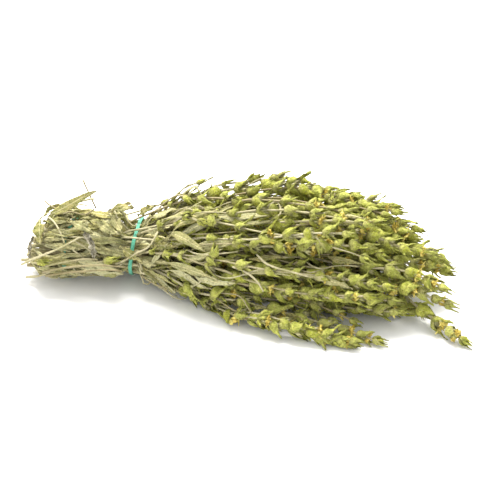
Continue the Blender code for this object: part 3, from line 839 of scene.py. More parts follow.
class Finish(Enum):
    """The finishes of one stem, in the order of its mesh's material slots."""

    STALK = 0
    PITH = 1
    LEAF = 2
    BRACT = 3
    CALYX = 4
    PETAL = 5
    HAIR = 6


class Nodes:
    """Short ways to lay out the nodes of one material."""

    def __init__(self, name: str, ground: Colour) -> None:
        """Starts a material with its shader and the colour that lies under all others."""
        self.material = bpy.data.materials.new(name)
        self.material.use_nodes = True
        self.tree = self.material.node_tree
        self.shader = self.tree.nodes["Principled BSDF"]
        self.place = self.tree.nodes.new("ShaderNodeTexCoord").outputs["Object"]
        self.colour: object = ground

    def feed(self, target: Socket, value: object) -> None:
        """Sets a socket to a number or colour, or links it to another socket."""
        if isinstance(value, Socket):
            self.tree.links.new(value, target)
        elif isinstance(value, tuple) and target.type == "RGBA":
            target.default_value = (*value, 1.0)
        else:
            target.default_value = value

    def node(self, kind: str, inputs: dict[object, object], **settings: str) -> bpy.types.Node:
        """Lays out one node.

        Args:
            kind: Its kind.
            inputs: What its inputs get, by name or number.
            **settings: Its options.

        Returns:
            The node.
        """
        node = self.tree.nodes.new(f"ShaderNode{kind}")
        for name, value in settings.items():
            setattr(node, name, value)
        for socket, value in inputs.items():
            self.feed(node.inputs[socket], value)
        return node

    def mark(self) -> tuple[Socket, ...]:
        """The across, along and tone marks that the mesh carries."""
        vector = self.node("Attribute", {}, attribute_name="marks").outputs["Vector"]
        return tuple(self.node("SeparateXYZ", {0: vector}).outputs)

    def vector(self, *parts: object) -> Socket:
        """A vector of three numbers."""
        return self.node("CombineXYZ", dict(enumerate(parts))).outputs[0]

    def math(self, kind: str, *values: object) -> Socket:
        """A function of numbers."""
        return self.node("Math", dict(enumerate(values)), operation=kind).outputs[0]

    def scaled(self, value: object, factor: float, plus: object = 0.0) -> Socket:
        """A number times a factor, and another number on top."""
        return self.math("MULTIPLY_ADD", value, factor, plus)

    def noise(
        self, scale: float, detail: float = 3.0, roughness: float = 0.55, vector: object = None
    ) -> Socket:
        """Cloudy noise, its scale in cycles a metre."""
        inputs = {"Vector": vector or self.place, "Scale": scale, "Detail": detail, "Roughness": roughness}
        return self.node("TexNoise", inputs).outputs["Fac"]

    def cells(self, scale: float, vector: object = None) -> Socket:
        """How far a point is from the border between cells, in cells."""
        inputs = {"Vector": vector or self.place, "Scale": scale}
        return self.node("TexVoronoi", inputs, feature="DISTANCE_TO_EDGE").outputs["Distance"]

    def span(self, value: object, low: float, high: float, to: Pair = (0.0, 1.0)) -> Socket:
        """A number carried smoothly from one range to another."""
        inputs = {"Value": value, "From Min": low, "From Max": high, "To Min": to[0], "To Max": to[1]}
        return self.node("MapRange", inputs, interpolation_type="SMOOTHSTEP").outputs[0]

    def mix(self, share: object, first: object, second: object) -> Socket:
        """A blend of two colours."""
        return self.node("Mix", {0: share, 6: first, 7: second}, data_type="RGBA").outputs[2]

    def coat(self, colour: object, mask: object, low: float, high: float, share: float = 1.0) -> None:
        """Lays a colour over those already there.

        Args:
            colour: The colour.
            mask: The number that says where.
            low: Where the coat starts.
            high: Where it is full.
            share: How much it covers there.
        """
        self.colour = self.mix(self.span(mask, low, high, (0.0, share)), self.colour, colour)

    def bump(self, height: Socket, depth: float) -> None:
        """Relief of a depth in metres, put on top of the relief that is already there."""
        normal = self.shader.inputs["Normal"]
        inputs = {"Strength": 1.0, "Distance": depth, "Height": height}
        if normal.is_linked:
            inputs["Normal"] = normal.links[0].from_socket
        self.feed(normal, self.node("Bump", inputs).outputs["Normal"])

    def finish(self, roughness: object, **sockets: float) -> bpy.types.Material:
        """Sets the shader's colour, roughness and other sockets.

        Args:
            roughness: A number or a socket.
            **sockets: Other shader inputs by name, with _ for a space.

        Returns:
            The material.
        """
        sockets = {"Base_Color": self.colour, "Roughness": roughness, **sockets}
        for name, value in sockets.items():
            self.feed(self.shader.inputs[name.replace("_", " ")], value)
        return self.material


@dataclass(frozen=True)
class FeltedLeaf:
    """Dried lance-shaped leaf: grey felt over green, a pale midrib and slanting veins."""

    green: Colour = (0.215, 0.228, 0.060)
    straw: Colour = (0.440, 0.390, 0.140)
    felt: Colour = (0.465, 0.458, 0.255)
    rib: Colour = (0.680, 0.620, 0.320)
    dark: Colour = (0.105, 0.080, 0.022)
    wool: Colour = (0.780, 0.740, 0.580)
    rib_half: float = 0.00032
    vein_gap: float = 0.0027

    def make(self) -> bpy.types.Material:
        """Builds the material."""
        n = Nodes("felted_leaf", self.green)
        across, distance, tone = n.mark()
        side, felt = n.math("ABSOLUTE", across), n.noise(2600.0, 4.0, 0.7)
        wave = n.math("SINE", n.scaled(n.scaled(side, -0.9, distance), math.tau / self.vein_gap))
        rib_edges = (self.rib_half * 1.8, self.rib_half * 0.7)
        n.coat(self.straw, n.noise(170.0, 4.0, 0.6), 0.35, 0.65)
        n.coat(self.felt, n.scaled(felt, 0.55, n.scaled(tone, 0.75)), 0.30, 0.95)
        n.coat(self.rib, wave, 0.72, 1.0, 0.38)
        n.coat(self.rib, side, *rib_edges, 0.75)
        n.coat(self.rib, n.noise(950.0, 2.0), 0.54, 0.70, 0.45)
        n.coat(self.dark, n.noise(800.0, 3.0), 0.44, 0.32, 0.55)
        n.coat(self.dark, n.noise(420.0, 3.0), 0.58, 0.72, 0.60)
        n.coat(n.mix(n.span(felt, 0.40, 0.60), self.dark, self.wool), tone, 1.2, 1.6)
        n.bump(n.noise(520.0, 3.0), 0.0012)
        veins = n.scaled(n.span(wave, 0.72, 1.0), -0.8)
        n.bump(n.scaled(n.span(side, *rib_edges), 1.2, veins), 0.00022)
        n.bump(felt, 0.00030)
        return n.finish(n.span(felt, 0.2, 0.8, (0.80, 0.97)), Specular_IOR_Level=0.25)


@dataclass(frozen=True)
class BeakedBract:
    """Dried bract: yellow olive, netted with paler veins, greener at its beak, straw at its base, with
    straw rims painted as light shining through them and pale specks painted as highlights.
    """

    olive: Colour = (0.345, 0.378, 0.022)
    yellow: Colour = (0.680, 0.700, 0.150)
    green: Colour = (0.180, 0.225, 0.022)
    straw: Colour = (0.610, 0.570, 0.230)
    vein: Colour = (0.580, 0.570, 0.180)
    rust: Colour = (0.200, 0.135, 0.026)
    net: float = 720.0

    def make(self) -> bpy.types.Material:
        """Builds the material."""
        n = Nodes("beaked_bract", self.olive)
        across, distance, tone = n.mark()
        clouds, fine = n.noise(230.0, 4.0, 0.6), n.noise(2400.0, 4.0, 0.65)
        netted = n.vector(n.scaled(across, 1.25), n.scaled(distance, 0.72), n.scaled(tone, 0.05))
        net = n.cells(self.net, netted)
        n.coat(self.yellow, n.scaled(clouds, 0.9, n.scaled(tone, 0.55)), 0.42, 0.92)
        n.coat(self.green, n.scaled(tone, -0.5, clouds), 0.42, 0.20, 0.55)
        n.coat(self.vein, net, 0.12, 0.02, 0.42)
        n.coat(self.straw, distance, 0.0050, 0.0005, 0.55)
        n.coat(self.green, distance, 0.0115, 0.0165, 0.45)
        n.coat(self.rust, n.noise(640.0, 3.0), 0.54, 0.66, 0.60)
        # Pale straw specks in random places, painted as highlights
        n.coat(self.straw, n.noise(980.0, 2.0), 0.54, 0.70, 0.50)
        # Straw where the tone mark runs high: on bracts of high tone, and at the rims, where draw_bract
        # raises the mark as painted light shining through the thin edges
        n.coat(self.straw, tone, 0.85, 1.30, 0.70)
        n.bump(n.cells(330.0), 0.0016)
        n.bump(n.noise(650.0, 2.0), 0.00090)
        n.bump(n.span(net, 0.12, 0.02), 0.00022)
        n.bump(fine, 0.00016)
        return n.finish(n.span(fine, 0.2, 0.8, (0.62, 0.84)), Specular_IOR_Level=0.25)


@dataclass(frozen=True)
class StrawStalk:
    """Dried square stalk: straw and cream, fibres along it, grey felt in patches."""

    straw: Colour = (0.395, 0.342, 0.160)
    cream: Colour = (0.560, 0.515, 0.315)
    green: Colour = (0.240, 0.240, 0.065)
    brown: Colour = (0.190, 0.130, 0.048)

    def make(self) -> bpy.types.Material:
        """Builds the material."""
        n = Nodes("straw_stalk", self.straw)
        across, distance, tone = n.mark()
        fibre = n.noise(420.0, 4.0, 0.7, n.vector(n.scaled(across, 7.0), distance, tone))
        felt = n.noise(2300.0, 3.0, 0.7)
        n.coat(self.cream, n.scaled(tone, 0.5, fibre), 0.35, 1.0)
        n.coat(self.green, n.noise(95.0, 4.0, 0.6), 0.46, 0.66, 0.65)
        n.coat(self.brown, fibre, 0.58, 0.76, 0.6)
        n.coat(self.brown, tone, 0.42, 0.10, 0.55)
        n.coat(self.brown, n.noise(700.0, 3.0), 0.46, 0.34, 0.5)
        n.coat(self.cream, felt, 0.45, 0.75, 0.35)
        n.bump(fibre, 0.00030)
        n.bump(felt, 0.00020)
        return n.finish(n.span(fibre, 0.2, 0.8, (0.62, 0.88)), Sheen_Weight=0.12, Sheen_Roughness=0.5)


@dataclass(frozen=True)
class CutPith:
    """The cut end of a stalk: pale torn pith round a hollow that is darkened as painted shade."""

    pale: Colour = (0.700, 0.620, 0.400)
    dark: Colour = (0.120, 0.085, 0.040)

    def make(self) -> bpy.types.Material:
        """Builds the material."""
        n = Nodes("cut_pith", self.pale)
        _, distance, _ = n.mark()
        torn = n.noise(2200.0, 4.0, 0.75)
        # Darker with depth into the hollow: painted shade
        n.coat(self.dark, distance, 0.0001, 0.0012)
        n.coat(self.dark, torn, 0.5, 0.8, 0.6)
        n.bump(torn, 0.00035)
        return n.finish(0.9)


@dataclass(frozen=True)
class HairyCalyx:
    """Calyx between the bracts: pale green ribs, straw teeth."""

    green: Colour = (0.330, 0.345, 0.130)
    straw: Colour = (0.580, 0.520, 0.290)

    def make(self) -> bpy.types.Material:
        """Builds the material."""
        n = Nodes("hairy_calyx", self.green)
        across, distance, tone = n.mark()
        fine = n.noise(2600.0, 3.0)
        ribs = n.math("SINE", n.scaled(across, math.tau * 1.5))
        n.coat(self.straw, n.scaled(ribs, 0.3, fine), 0.2, 0.9)
        n.coat(self.straw, distance, 0.004, 0.0075, 0.6)
        n.colour = n.mix(n.scaled(tone, 0.35), n.colour, self.green)
        n.bump(fine, 0.00020)
        return n.finish(0.85, Specular_IOR_Level=0.25)


@dataclass(frozen=True)
class DriedPetal:
    """Dried corolla: lemon to amber, browned at its edges."""

    lemon: Colour = (0.830, 0.720, 0.190)
    amber: Colour = (0.600, 0.460, 0.070)
    brown: Colour = (0.200, 0.085, 0.020)

    def make(self) -> bpy.types.Material:
        """Builds the material."""
        n = Nodes("dried_petal", self.lemon)
        _, distance, tone = n.mark()
        clouds, fine = n.noise(700.0, 4.0, 0.65), n.noise(3000.0, 3.0)
        n.coat(self.amber, n.scaled(tone, 0.6, clouds), 0.45, 1.1)
        n.coat(self.brown, clouds, 0.62, 0.78, 0.55)
        n.coat(self.brown, distance, 0.0036, 0.0056, 0.30)
        n.bump(clouds, 0.00035)
        n.bump(fine, 0.00012)
        return n.finish(n.span(fine, 0.2, 0.8, (0.50, 0.75)))


@dataclass(frozen=True)
class PaleHair:
    """The short hairs along edges and stalks."""

    pale: Colour = (0.660, 0.630, 0.400)
    straw: Colour = (0.500, 0.460, 0.230)

    def make(self) -> bpy.types.Material:
        """Builds the material."""
        n = Nodes("pale_hair", self.pale)
        n.colour = n.mix(n.noise(800.0, 2.0), self.pale, self.straw)
        return n.finish(0.7, Specular_IOR_Level=0.25)


@dataclass(frozen=True)
class TurquoiseRubber:
    """Stretched elastic: turquoise green, fine ribs along it, a soft shine."""

    bright: Colour = (0.205, 0.650, 0.445)
    deep: Colour = (0.065, 0.410, 0.275)
    dust: Colour = (0.400, 0.650, 0.500)
    rib_gap: float = 0.00045

    def make(self) -> bpy.types.Material:
        """Builds the material."""
        n = Nodes("turquoise_rubber", self.bright)
        across, distance, _ = n.mark()
        streaks = n.noise(300.0, 4.0, 0.6, n.vector(n.scaled(across, 8.0), distance, 0.0))
        ribs = n.math("SINE", n.scaled(across, math.tau / self.rib_gap))
        fine = n.noise(2400.0, 3.0)
        n.coat(self.deep, streaks, 0.32, 0.68)
        n.coat(self.dust, fine, 0.60, 0.80, 0.40)
        n.bump(n.scaled(ribs, 0.5, streaks), 0.00016)
        n.bump(fine, 0.00006)
        return n.finish(n.span(streaks, 0.2, 0.8, (0.30, 0.50)), Specular_IOR_Level=0.5)


@dataclass(frozen=True)
class PaleFloor:
    """The plain pale surface that the bunch lies on."""

    white: Colour = (0.93, 0.93, 0.93)
    shade: Colour = (0.915, 0.915, 0.915)

    def make(self) -> bpy.types.Material:
        """Builds the material."""
        n = Nodes("pale_floor", self.white)
        n.colour = n.mix(n.noise(9.0, 2.0), self.white, self.shade)
        return n.finish(0.85, Specular_IOR_Level=0.2)


# Mesh building

FLOOR_EASE = 0.0018


def unit(vectors: Array) -> Array:
    """The vectors at length one."""
    return vectors / np.maximum(norm(vectors), 1e-12)[..., None]


def moved(base: Array, first: Array, ahead: Array, second: Array, aside: Array) -> Array:
    """A base moved by grids of distances ahead and aside, in two directions."""
    return base + first * ahead[..., None] + second * aside[..., None]


def marked(places: Array, across: object, distance: object, tone: object) -> Array:
    """The marks of a grid of points: metres across and along what they belong to, and its tone."""
    marks = np.empty(places.shape)
    for k, mark in enumerate((across, distance, tone)):
        marks[..., k] = mark
    return marks


def surface_normals(grid: Array) -> Array:
    """The direction out of a sheet at each point of its grid of rows and columns."""
    return unit(np.cross(np.gradient(grid, axis=1), np.gradient(grid, axis=0)))


class MeshPen:
    """Collects the points and faces of one piece, with the marks that its finishes read."""

    def __init__(self) -> None:
        """Starts with nothing drawn."""
        self._places: list[Array] = []
        self._marks: list[Array] = []
        self._faces: dict[int, list[Array]] = {3: [], 4: []}
        self._finishes: dict[int, list[Array]] = {3: [], 4: []}
        self._count = 0

    def points(self, places: Array, marks: Array) -> Array:
        """Adds points and returns their numbers."""
        self._places.append(places.reshape(-1, 3))
        self._marks.append(marks.reshape(-1, 3))
        first = self._count
        self._count += len(self._places[-1])
        return np.arange(first, self._count)

    def faces(self, corners: Array, finish: Finish) -> None:
        """Adds faces of three or four corners."""
        corners = np.asarray(corners).reshape(-1, corners.shape[-1])
        self._faces[corners.shape[1]].append(corners)
        self._finishes[corners.shape[1]].append(np.full(len(corners), finish.value))

    def sheet(self, places: Array, marks: Array, finish: Finish, wrap: bool = False) -> Array:
        """Adds a grid of faces.

        Args:
            places: Rows and columns of points.
            marks: The marks of each.
            finish: The finish of the faces.
            wrap: Whether the last column joins the first.

        Returns:
            The numbers of the points, in rows and columns.
        """
        rows, columns = places.shape[:2]
        index = self.points(places, marks).reshape(rows, columns)
        around = np.hstack([index, index[:, :1]]) if wrap else index
        corners = [around[:-1, :-1], around[:-1, 1:], around[1:, 1:], around[1:, :-1]]
        self.faces(np.stack(corners, axis=-1), finish)
        return index

    def shell(self, middle: Array, marks: Array, thickness: float, finish: Finish) -> None:
        """Adds a thin closed sheet: both faces of a grid, its rim and its two ends."""
        columns = middle.shape[1]
        thin = 1.0 - 0.6 * np.abs(np.linspace(-1.0, 1.0, columns)) ** 3
        offset = surface_normals(middle) * (0.5 * thickness * thin)[None, :, None]
        ring = np.concatenate([middle + offset, (middle - offset)[:, ::-1]], axis=1)
        index = self.sheet(ring, np.concatenate([marks, marks[:, ::-1]], axis=1), finish, wrap=True)
        for row, step in ((0, 1), (-1, -1)):
            top, under = index[row, :columns], index[row, columns:][::-1]
            corners = np.column_stack([top[:-1], under[:-1], under[1:], top[1:]])
            self.faces(corners[:, ::step], finish)

    def cap(self, ring: Array, place: Array, mark: Array, finish: Finish, forward: bool) -> None:
        """Closes a ring of points with a fan of faces round one more point."""
        (middle,) = self.points(place, mark)
        onward = np.roll(ring, -1)
        middle = np.full(len(ring), middle)
        corners = (ring, onward, middle) if forward else (onward, ring, middle)
        self.faces(np.column_stack(corners), finish)

    def spikes(self, roots: Array, reach: Array, half_width: float, tone: float) -> None:
        """Adds three-sided hairs that stand on the given roots and reach as far as each vector says."""
        ahead = unit(reach)
        first = unit(np.cross(ahead, (0.31, 0.52, 0.79)))
        second = np.cross(ahead, first)
        corners = []
        for turn in range(3):
            angle = math.tau * turn / 3
            corners.append(roots + half_width * (math.cos(angle) * first + math.sin(angle) * second))
        corners.append(roots + reach)
        places = np.stack(corners, axis=1)
        index = self.points(places, np.full(places.shape, tone)).reshape(-1, 4)
        for a, b in ((0, 1), (1, 2), (2, 0)):
            self.faces(index[:, (a, b, 3)], Finish.HAIR)

    def make(self, name: str, finishes: list[bpy.types.Material], shift: Array) -> bpy.types.Object:
        """Turns what was drawn into an object.

        Args:
            name: The piece's name.
            finishes: Its materials.
            shift: The move from the placement rule's frame to the frame of the solids.

        Returns:
            The object, in the scene.
        """
        places = np.vstack(self._places) + shift
        low = places[:, 2] < FLOOR_EASE
        places[low, 2] = FLOOR_EASE * np.exp(places[low, 2] / FLOOR_EASE - 1.0)
        sizes = [k for k in (3, 4) if self._faces[k]]
        loops = np.concatenate([np.vstack(self._faces[k]).ravel() for k in sizes])
        counts = np.concatenate([np.full(len(np.vstack(self._faces[k])), k) for k in sizes])
        mesh = bpy.data.meshes.new(name)
        mesh.vertices.add(len(places))
        mesh.vertices.foreach_set("co", places.ravel())
        mesh.loops.add(len(loops))
        mesh.loops.foreach_set("vertex_index", loops.astype(np.int32))
        mesh.polygons.add(len(counts))
        mesh.polygons.foreach_set("loop_start", (np.cumsum(counts) - counts).astype(np.int32))
        slots = np.concatenate([np.concatenate(self._finishes[k]) for k in sizes])
        mesh.polygons.foreach_set("material_index", slots)
        mesh.polygons.foreach_set("use_smooth", np.ones(len(counts), bool))
        marks = mesh.attributes.new("marks", "FLOAT_VECTOR", "POINT")
        marks.data.foreach_set("vector", np.vstack(self._marks).astype(np.float32).ravel())
        mesh.update(calc_edges=True)
        mesh.validate()
        for finish in finishes:
            mesh.materials.append(finish)
        made = bpy.data.objects.new(name, mesh)
        bpy.context.scene.collection.objects.link(made)
        return made

    @property
    def triangles(self) -> int:
        """How many triangles the piece has."""
        return sum(len(f) for f in self._faces[3]) + 2 * sum(len(f) for f in self._faces[4])


# The pieces


@dataclass(frozen=True)
class LeafLook:
    """How one dried leaf is folded, curled and coloured.

    The fold is the angle of each half of the blade to the leaf's own plane, in radians, and negative
    where its edges go towards the bunch. The curl adds to it towards the edge.
    """

    fold: float = -0.3
    curl: float = 0.0
    twist: float = 0.0
    wave: float = 0.0004
    tip_bend: float = 0.0
    side_bend: float = 0.0
    crumple: float = 0.0002
    tone: float = 0.5

    @staticmethod
    def drawn(draw: random.Random, loose: float) -> "LeafLook":
        """A look drawn at random; loose is 0 for a leaf pressed flat and 1 for one that curls freely."""
        kind = draw.random()
        fold = draw.uniform(-0.60, 0.05) if kind < 0.5 else draw.uniform(0.20, 1.15)
        return LeafLook(
            fold=fold,
            curl=draw.uniform(-0.7, 0.4) * (0.5 + loose),
            twist=draw.uniform(-0.8, 0.8) * (0.2 + loose),
            wave=draw.uniform(0.0002, 0.0007),
            tip_bend=draw.uniform(-0.0015, 0.004) * loose,
            side_bend=draw.uniform(-0.003, 0.003) * loose,
            crumple=draw.uniform(0.0001, 0.0004),
            tone=min(1.0, max(0.0, draw.gauss(0.5, 0.24))),
        )


@dataclass(frozen=True)
class LeafyStemDetail:
    """Sizes of what the solids leave plain on a stem."""

    ring_gap: float = 0.003
    leaf_thickness: float = 0.00034
    bract_thickness: float = 0.00026
    petal_thickness: float = 0.00014
    stalk_slim: float = 0.80
    leaf_widest: float = 0.42
    petiole: float = 0.24
    calyces: tuple[int, int] = (3, 5)
    hair_half_width: float = 0.000035
    hair_lengths: Pair = (0.0003, 0.0007)
    # The midline of a bract as (radius, forward) in cup sizes, and its half-angle round the cup
    bract_steps: tuple[float, ...] = (0.0, 0.09, 0.20, 0.33, 0.46, 0.58, 0.69, 0.79, 0.89, 1.0)
    bract_radius: tuple[float, ...] = (0.27, 0.64, 0.88, 1.00, 1.02, 1.00, 0.98, 0.98, 1.00, 1.04)
    bract_ahead: tuple[float, ...] = (0.0, 0.07, 0.20, 0.40, 0.62, 0.82, 1.00, 1.18, 1.40, 1.70)
    bract_angle: tuple[float, ...] = (1.45, 1.62, 1.74, 1.70, 1.46, 1.10, 0.72, 0.40, 0.18, 0.03)
    bract_columns: tuple[int, int] = (7, 5)
    shoot_rows: tuple[int, ...] = (0, 1, 3, 5, 6, 7, 9)
    cup_scale: Pair = (0.66, 0.94)
    flake_share: float = 0.60
    flake_lengths: Pair = (0.007, 0.015)
    flake_widths: Pair = (0.0013, 0.0027)
    # How likely a cup at x still holds its flowers
    flower_x: tuple[float, ...] = (0.13, 0.15, 0.20, 0.225, 0.285, 0.30, 0.33)
    flower_shares: tuple[float, ...] = (0.0, 0.16, 0.18, 0.42, 0.44, 0.34, 0.75)

    def bract_grid(self, whole: bool) -> tuple[list[int], int]:
        """The rows of the midline that a bract has, and its columns: fewer on a side shoot."""
        rows = range(len(self.bract_steps)) if whole else self.shoot_rows
        return list(rows), self.bract_columns[0 if whole else 1]


@dataclass(frozen=True)
class Cup:
    """One cup: its base, its heading, two directions across it, its radius and its depth."""

    place: Array
    heading: Array
    first: Array
    second: Array
    wide: float
    deep: float

    def turned(self, sign: float, scale: float = 1.0) -> "Cup":
        """The cup seen from its other side for a sign of -1, and wider by the scale."""
        return replace(self, first=self.first * sign, second=self.second * sign, wide=self.wide * scale)

    def spot(self, angle: float, aside: float, ahead: float) -> tuple[Array, Array]:
        """The direction outward at an angle round the cup, and the point that far aside and ahead."""
        outward = self.first * math.cos(angle) + self.second * math.sin(angle)
        return outward, self.place + outward * self.wide * aside + self.heading * self.deep * ahead


class LeafyStem:
    """One stem of the bunch, with all that grows on it."""

    def __init__(
        self, stem: Strand, leaves: list[Strand], shoots: list[Strand], detail: LeafyStemDetail
    ) -> None:
        """Takes the stem's course, its leaves and its side shoots."""
        self.stem = stem
        self.leaves = leaves
        self.shoots = shoots
        self.detail = detail
        self.pen = MeshPen()
        self.roll = stem_roll(stem.stem)
        self.draw = random.Random(FORM.seed * 913 + stem.stem)
        self.noise = np.random.default_rng(FORM.seed * 409 + stem.stem)
        self.tone = self.draw.uniform(0.1, 0.9)

    def build(self, finishes: list[bpy.types.Material], shift: Array) -> bpy.types.Object:
        """Draws the whole stem and returns its object."""
        for leaf in self.leaves:
            self.draw_leaf(leaf)
        for shoot in (self.stem, *self.shoots):
            self.draw_stalk(shoot)
            for number, (at, size) in enumerate(shoot.cups):
                last = number == len(shoot.cups) - 1
                self.draw_cup(shoot, number, at, size, last)
        return self.pen.make(f"leafy_stem_{self.stem.stem + 1:02d}", finishes, shift)

    def draw_stalk(self, course: Strand) -> None:
        """A square stalk with its swollen nodes, its cut end and the hairs on it."""
        whole = course is self.stem
        thick = (STEM.stalk_radius if whole else course.half_width) * self.detail.stalk_slim
        length = ROOM.bead * (len(course.points) - 1)
        stop = course.cups[-1][0] + STEM.cup_length * 0.4 if course.cups else length
        gap = self.detail.ring_gap * (1.0 if whole else 1.4)
        s = np.linspace(0.0, stop, max(8, int(stop / gap)))
        centre, heading = along(course.points, s), headings(course.points, s, 0.004)
        first, second = np.array([cross_axes(h, self.roll) for h in heading]).transpose(1, 0, 2)
        tip = min(thick, STEM.tip_radius * self.detail.stalk_slim)
        radius = np.interp(s / length, (0.0, 1.0), (thick, tip))
        radius = radius * (0.94 + 0.05 * np.sin(s * 260.0 + self.tone * 9.0))
        for at, _ in course.cups:
            radius = radius * (1.0 + 0.22 * np.exp(-(((s - at) / 0.0022) ** 2)))
        for leaf in self.leaves if whole else ():
            radius = radius * (1.0 + 0.10 * np.exp(-(((s - ROOM.bead * leaf.anchor) / 0.0025) ** 2)))
        sides = 8
        angles = math.tau * np.arange(sides) / sides
        square = np.where(np.arange(sides) % 2 == 0, 1.0, 0.80)
        uneven = 1.0 + 0.05 * self.noise.standard_normal((len(s), sides))
        reach = radius[:, None] * square * uneven
        ahead, aside = reach * np.cos(angles), reach * np.sin(angles)
        places = moved(centre[:, None], first[:, None], ahead, second[:, None], aside)
        tone = self.tone if whole else self.draw.uniform(0.1, 0.9)
        tone = tone if course.tone is None else course.tone
        marks = marked(places, np.abs(angles - math.pi) * 0.0012, s[:, None] + self.stem.stem, tone)
        index = self.pen.sheet(places, marks, Finish.STALK, wrap=True)
        if whole:
            self.draw_cut_end(places[0], index[0], centre[0], heading[0])
        else:
            self.pen.cap(index[0], centre[:1], marks[0, :1], Finish.STALK, False)
        self.pen.cap(index[-1], centre[-1:], marks[-1, :1], Finish.STALK, True)
        count = len(s) * 2 // 3
        pick = self.noise.integers(1, len(s) - 1, count)
        turn = self.noise.integers(0, sides, count)
        roots = places[pick, turn]
        outward = unit(roots - centre[pick])
        lean = outward + 0.7 * self.noise.standard_normal((count, 3))
        length = self.noise.uniform(*self.detail.hair_lengths, (count, 1))
        self.pen.spikes(roots, unit(lean) * length, self.detail.hair_half_width, self.tone)

    def draw_cut_end(self, ring: Array, index: Array, centre: Array, heading: Array) -> None:
        """The cut end of the stalk: a torn rim of pith and the hollow inside it."""
        rim = centre + (ring - centre) * 0.62 - heading * 0.0001
        hollow = centre + (ring - centre) * 0.50 + heading * 0.0016
        marks = np.zeros((2, len(ring), 3))
        # The depth mark into the hollow, which the pith finish darkens as painted shade
        marks[1, :, 1] = 0.0016
        rows = np.stack([rim, hollow])
        inner = self.pen.sheet(rows[:, ::-1], marks, Finish.PITH, wrap=True)
        rim_index = inner[0][::-1]
        onward, rim_onward = np.roll(index, -1), np.roll(rim_index, -1)
        self.pen.faces(np.column_stack([onward, index, rim_index, rim_onward]), Finish.PITH)
        self.pen.cap(inner[1], (centre + heading * 0.0016)[None], marks[1, :1], Finish.PITH, True)

    def draw_leaf(self, leaf: Strand) -> None:
        """A leaf of this stem, folded and twisted as it dried."""
        count = len(leaf.radii)
        if leaf.out is None:
            away = (leaf.points - self.stem.points[leaf.anchor : leaf.anchor + count])[2:].mean(axis=0)
            outs = np.tile(away, (count, 1))
            look = LeafLook.drawn(self.draw, 0.35)
        else:
            outs = leaf.out
            look = LeafLook.drawn(self.draw, 0.55)
        look = leaf.look or look
        grid = (17, 7) if leaf.half_width > 0.0030 else (13, 5)
        self.draw_blade(leaf.points, outs, leaf.half_width, look, grid)

    def draw_blade(
        self,
        points: Array,
        outs: Array,
        half_width: float,
        look: LeafLook,
        grid: tuple[int, int] = (17, 7),
        finish: Finish = Finish.LEAF,
    ) -> None:
        """One leaf blade.

        Args:
            points: Its midline.
            outs: The direction of its upper face at each bead.
            half_width: Half its greatest width.
            look: Its fold, curl and twist.
            grid: Its rows and columns of points.
            finish: Its finish.
        """
        rows, columns = grid
        length = ROOM.bead * (len(points) - 1)
        t = np.linspace(0.0, 1.0, rows)
        centre = along(points, t * length)
        heading = headings(points, t * length, 0.004)
        out = along(outs, t * length)
        out = unit(out - heading * (out * heading).sum(axis=1, keepdims=True))
        across = np.cross(heading, out)
        turn = (look.twist * t ** 1.4)[:, None]
        across, out = across * np.cos(turn) - out * np.sin(turn), out * np.cos(turn) + across * np.sin(turn)
        centre = centre + out * (look.tip_bend * t ** 3)[:, None]
        centre = centre + across * (look.side_bend * t ** 2)[:, None]
        rise = np.clip(t / self.detail.leaf_widest, 0.0, 1.0)
        fall = np.clip((1.0 - t) / (1.0 - self.detail.leaf_widest), 0.0, 1.0)
        shape = np.maximum(self.detail.petiole * (1.0 - t), smooth_step(rise) * fall ** 0.72)
        width = np.maximum(half_width * shape, 0.00012)[:, None]
        u = np.linspace(-1.0, 1.0, columns)
        half = np.abs(u)
        side = (look.fold + look.curl * half)[columns // 2 + 1 :]
        step = np.gradient(half[columns // 2 :])[1:]
        level, height = np.cumsum(step * np.cos(side)), np.cumsum(step * np.sin(side))
        level = np.concatenate([-level[::-1], [0.0], level])
        height = np.concatenate([height[::-1], [0.0], height])
        phase = self.draw.uniform(0.0, math.tau)
        ripple = look.wave * np.sin(t[:, None] * 17.0 + phase + 1.4 * u) * half
        ripple = ripple + look.crumple * self.noise.standard_normal((rows, columns)) * (0.3 + half)
        ripple[0] = 0.0
        rise = width * height + ripple
        middle = moved(centre[:, None], across[:, None], width * level, out[:, None], rise)
        marks = marked(middle, width * u, (t * length)[:, None], look.tone)
        self.pen.shell(middle, marks, self.detail.leaf_thickness, finish)
        for edge, inside in ((0, 1), (-1, -2)):
            self.fringe(middle[2:, edge], middle[2:, inside], rows // 2, look.tone)

    def fringe(self, edge: Array, inside: Array, count: int, tone: float) -> None:
        """Short hairs along an edge, pointing away from the points just inside it."""
        pick = self.noise.uniform(0.0, len(edge) - 1.001, count)
        low = pick.astype(int)
        share = (pick - low)[:, None]
        roots = edge[low] * (1.0 - share) + edge[low + 1] * share
        away = unit(edge[low] - inside[low])
        lean = unit(away + 0.55 * self.noise.standard_normal((count, 3)))
        length = self.noise.uniform(*self.detail.hair_lengths, (count, 1))
        self.pen.spikes(roots, lean * length, self.detail.hair_half_width, tone)

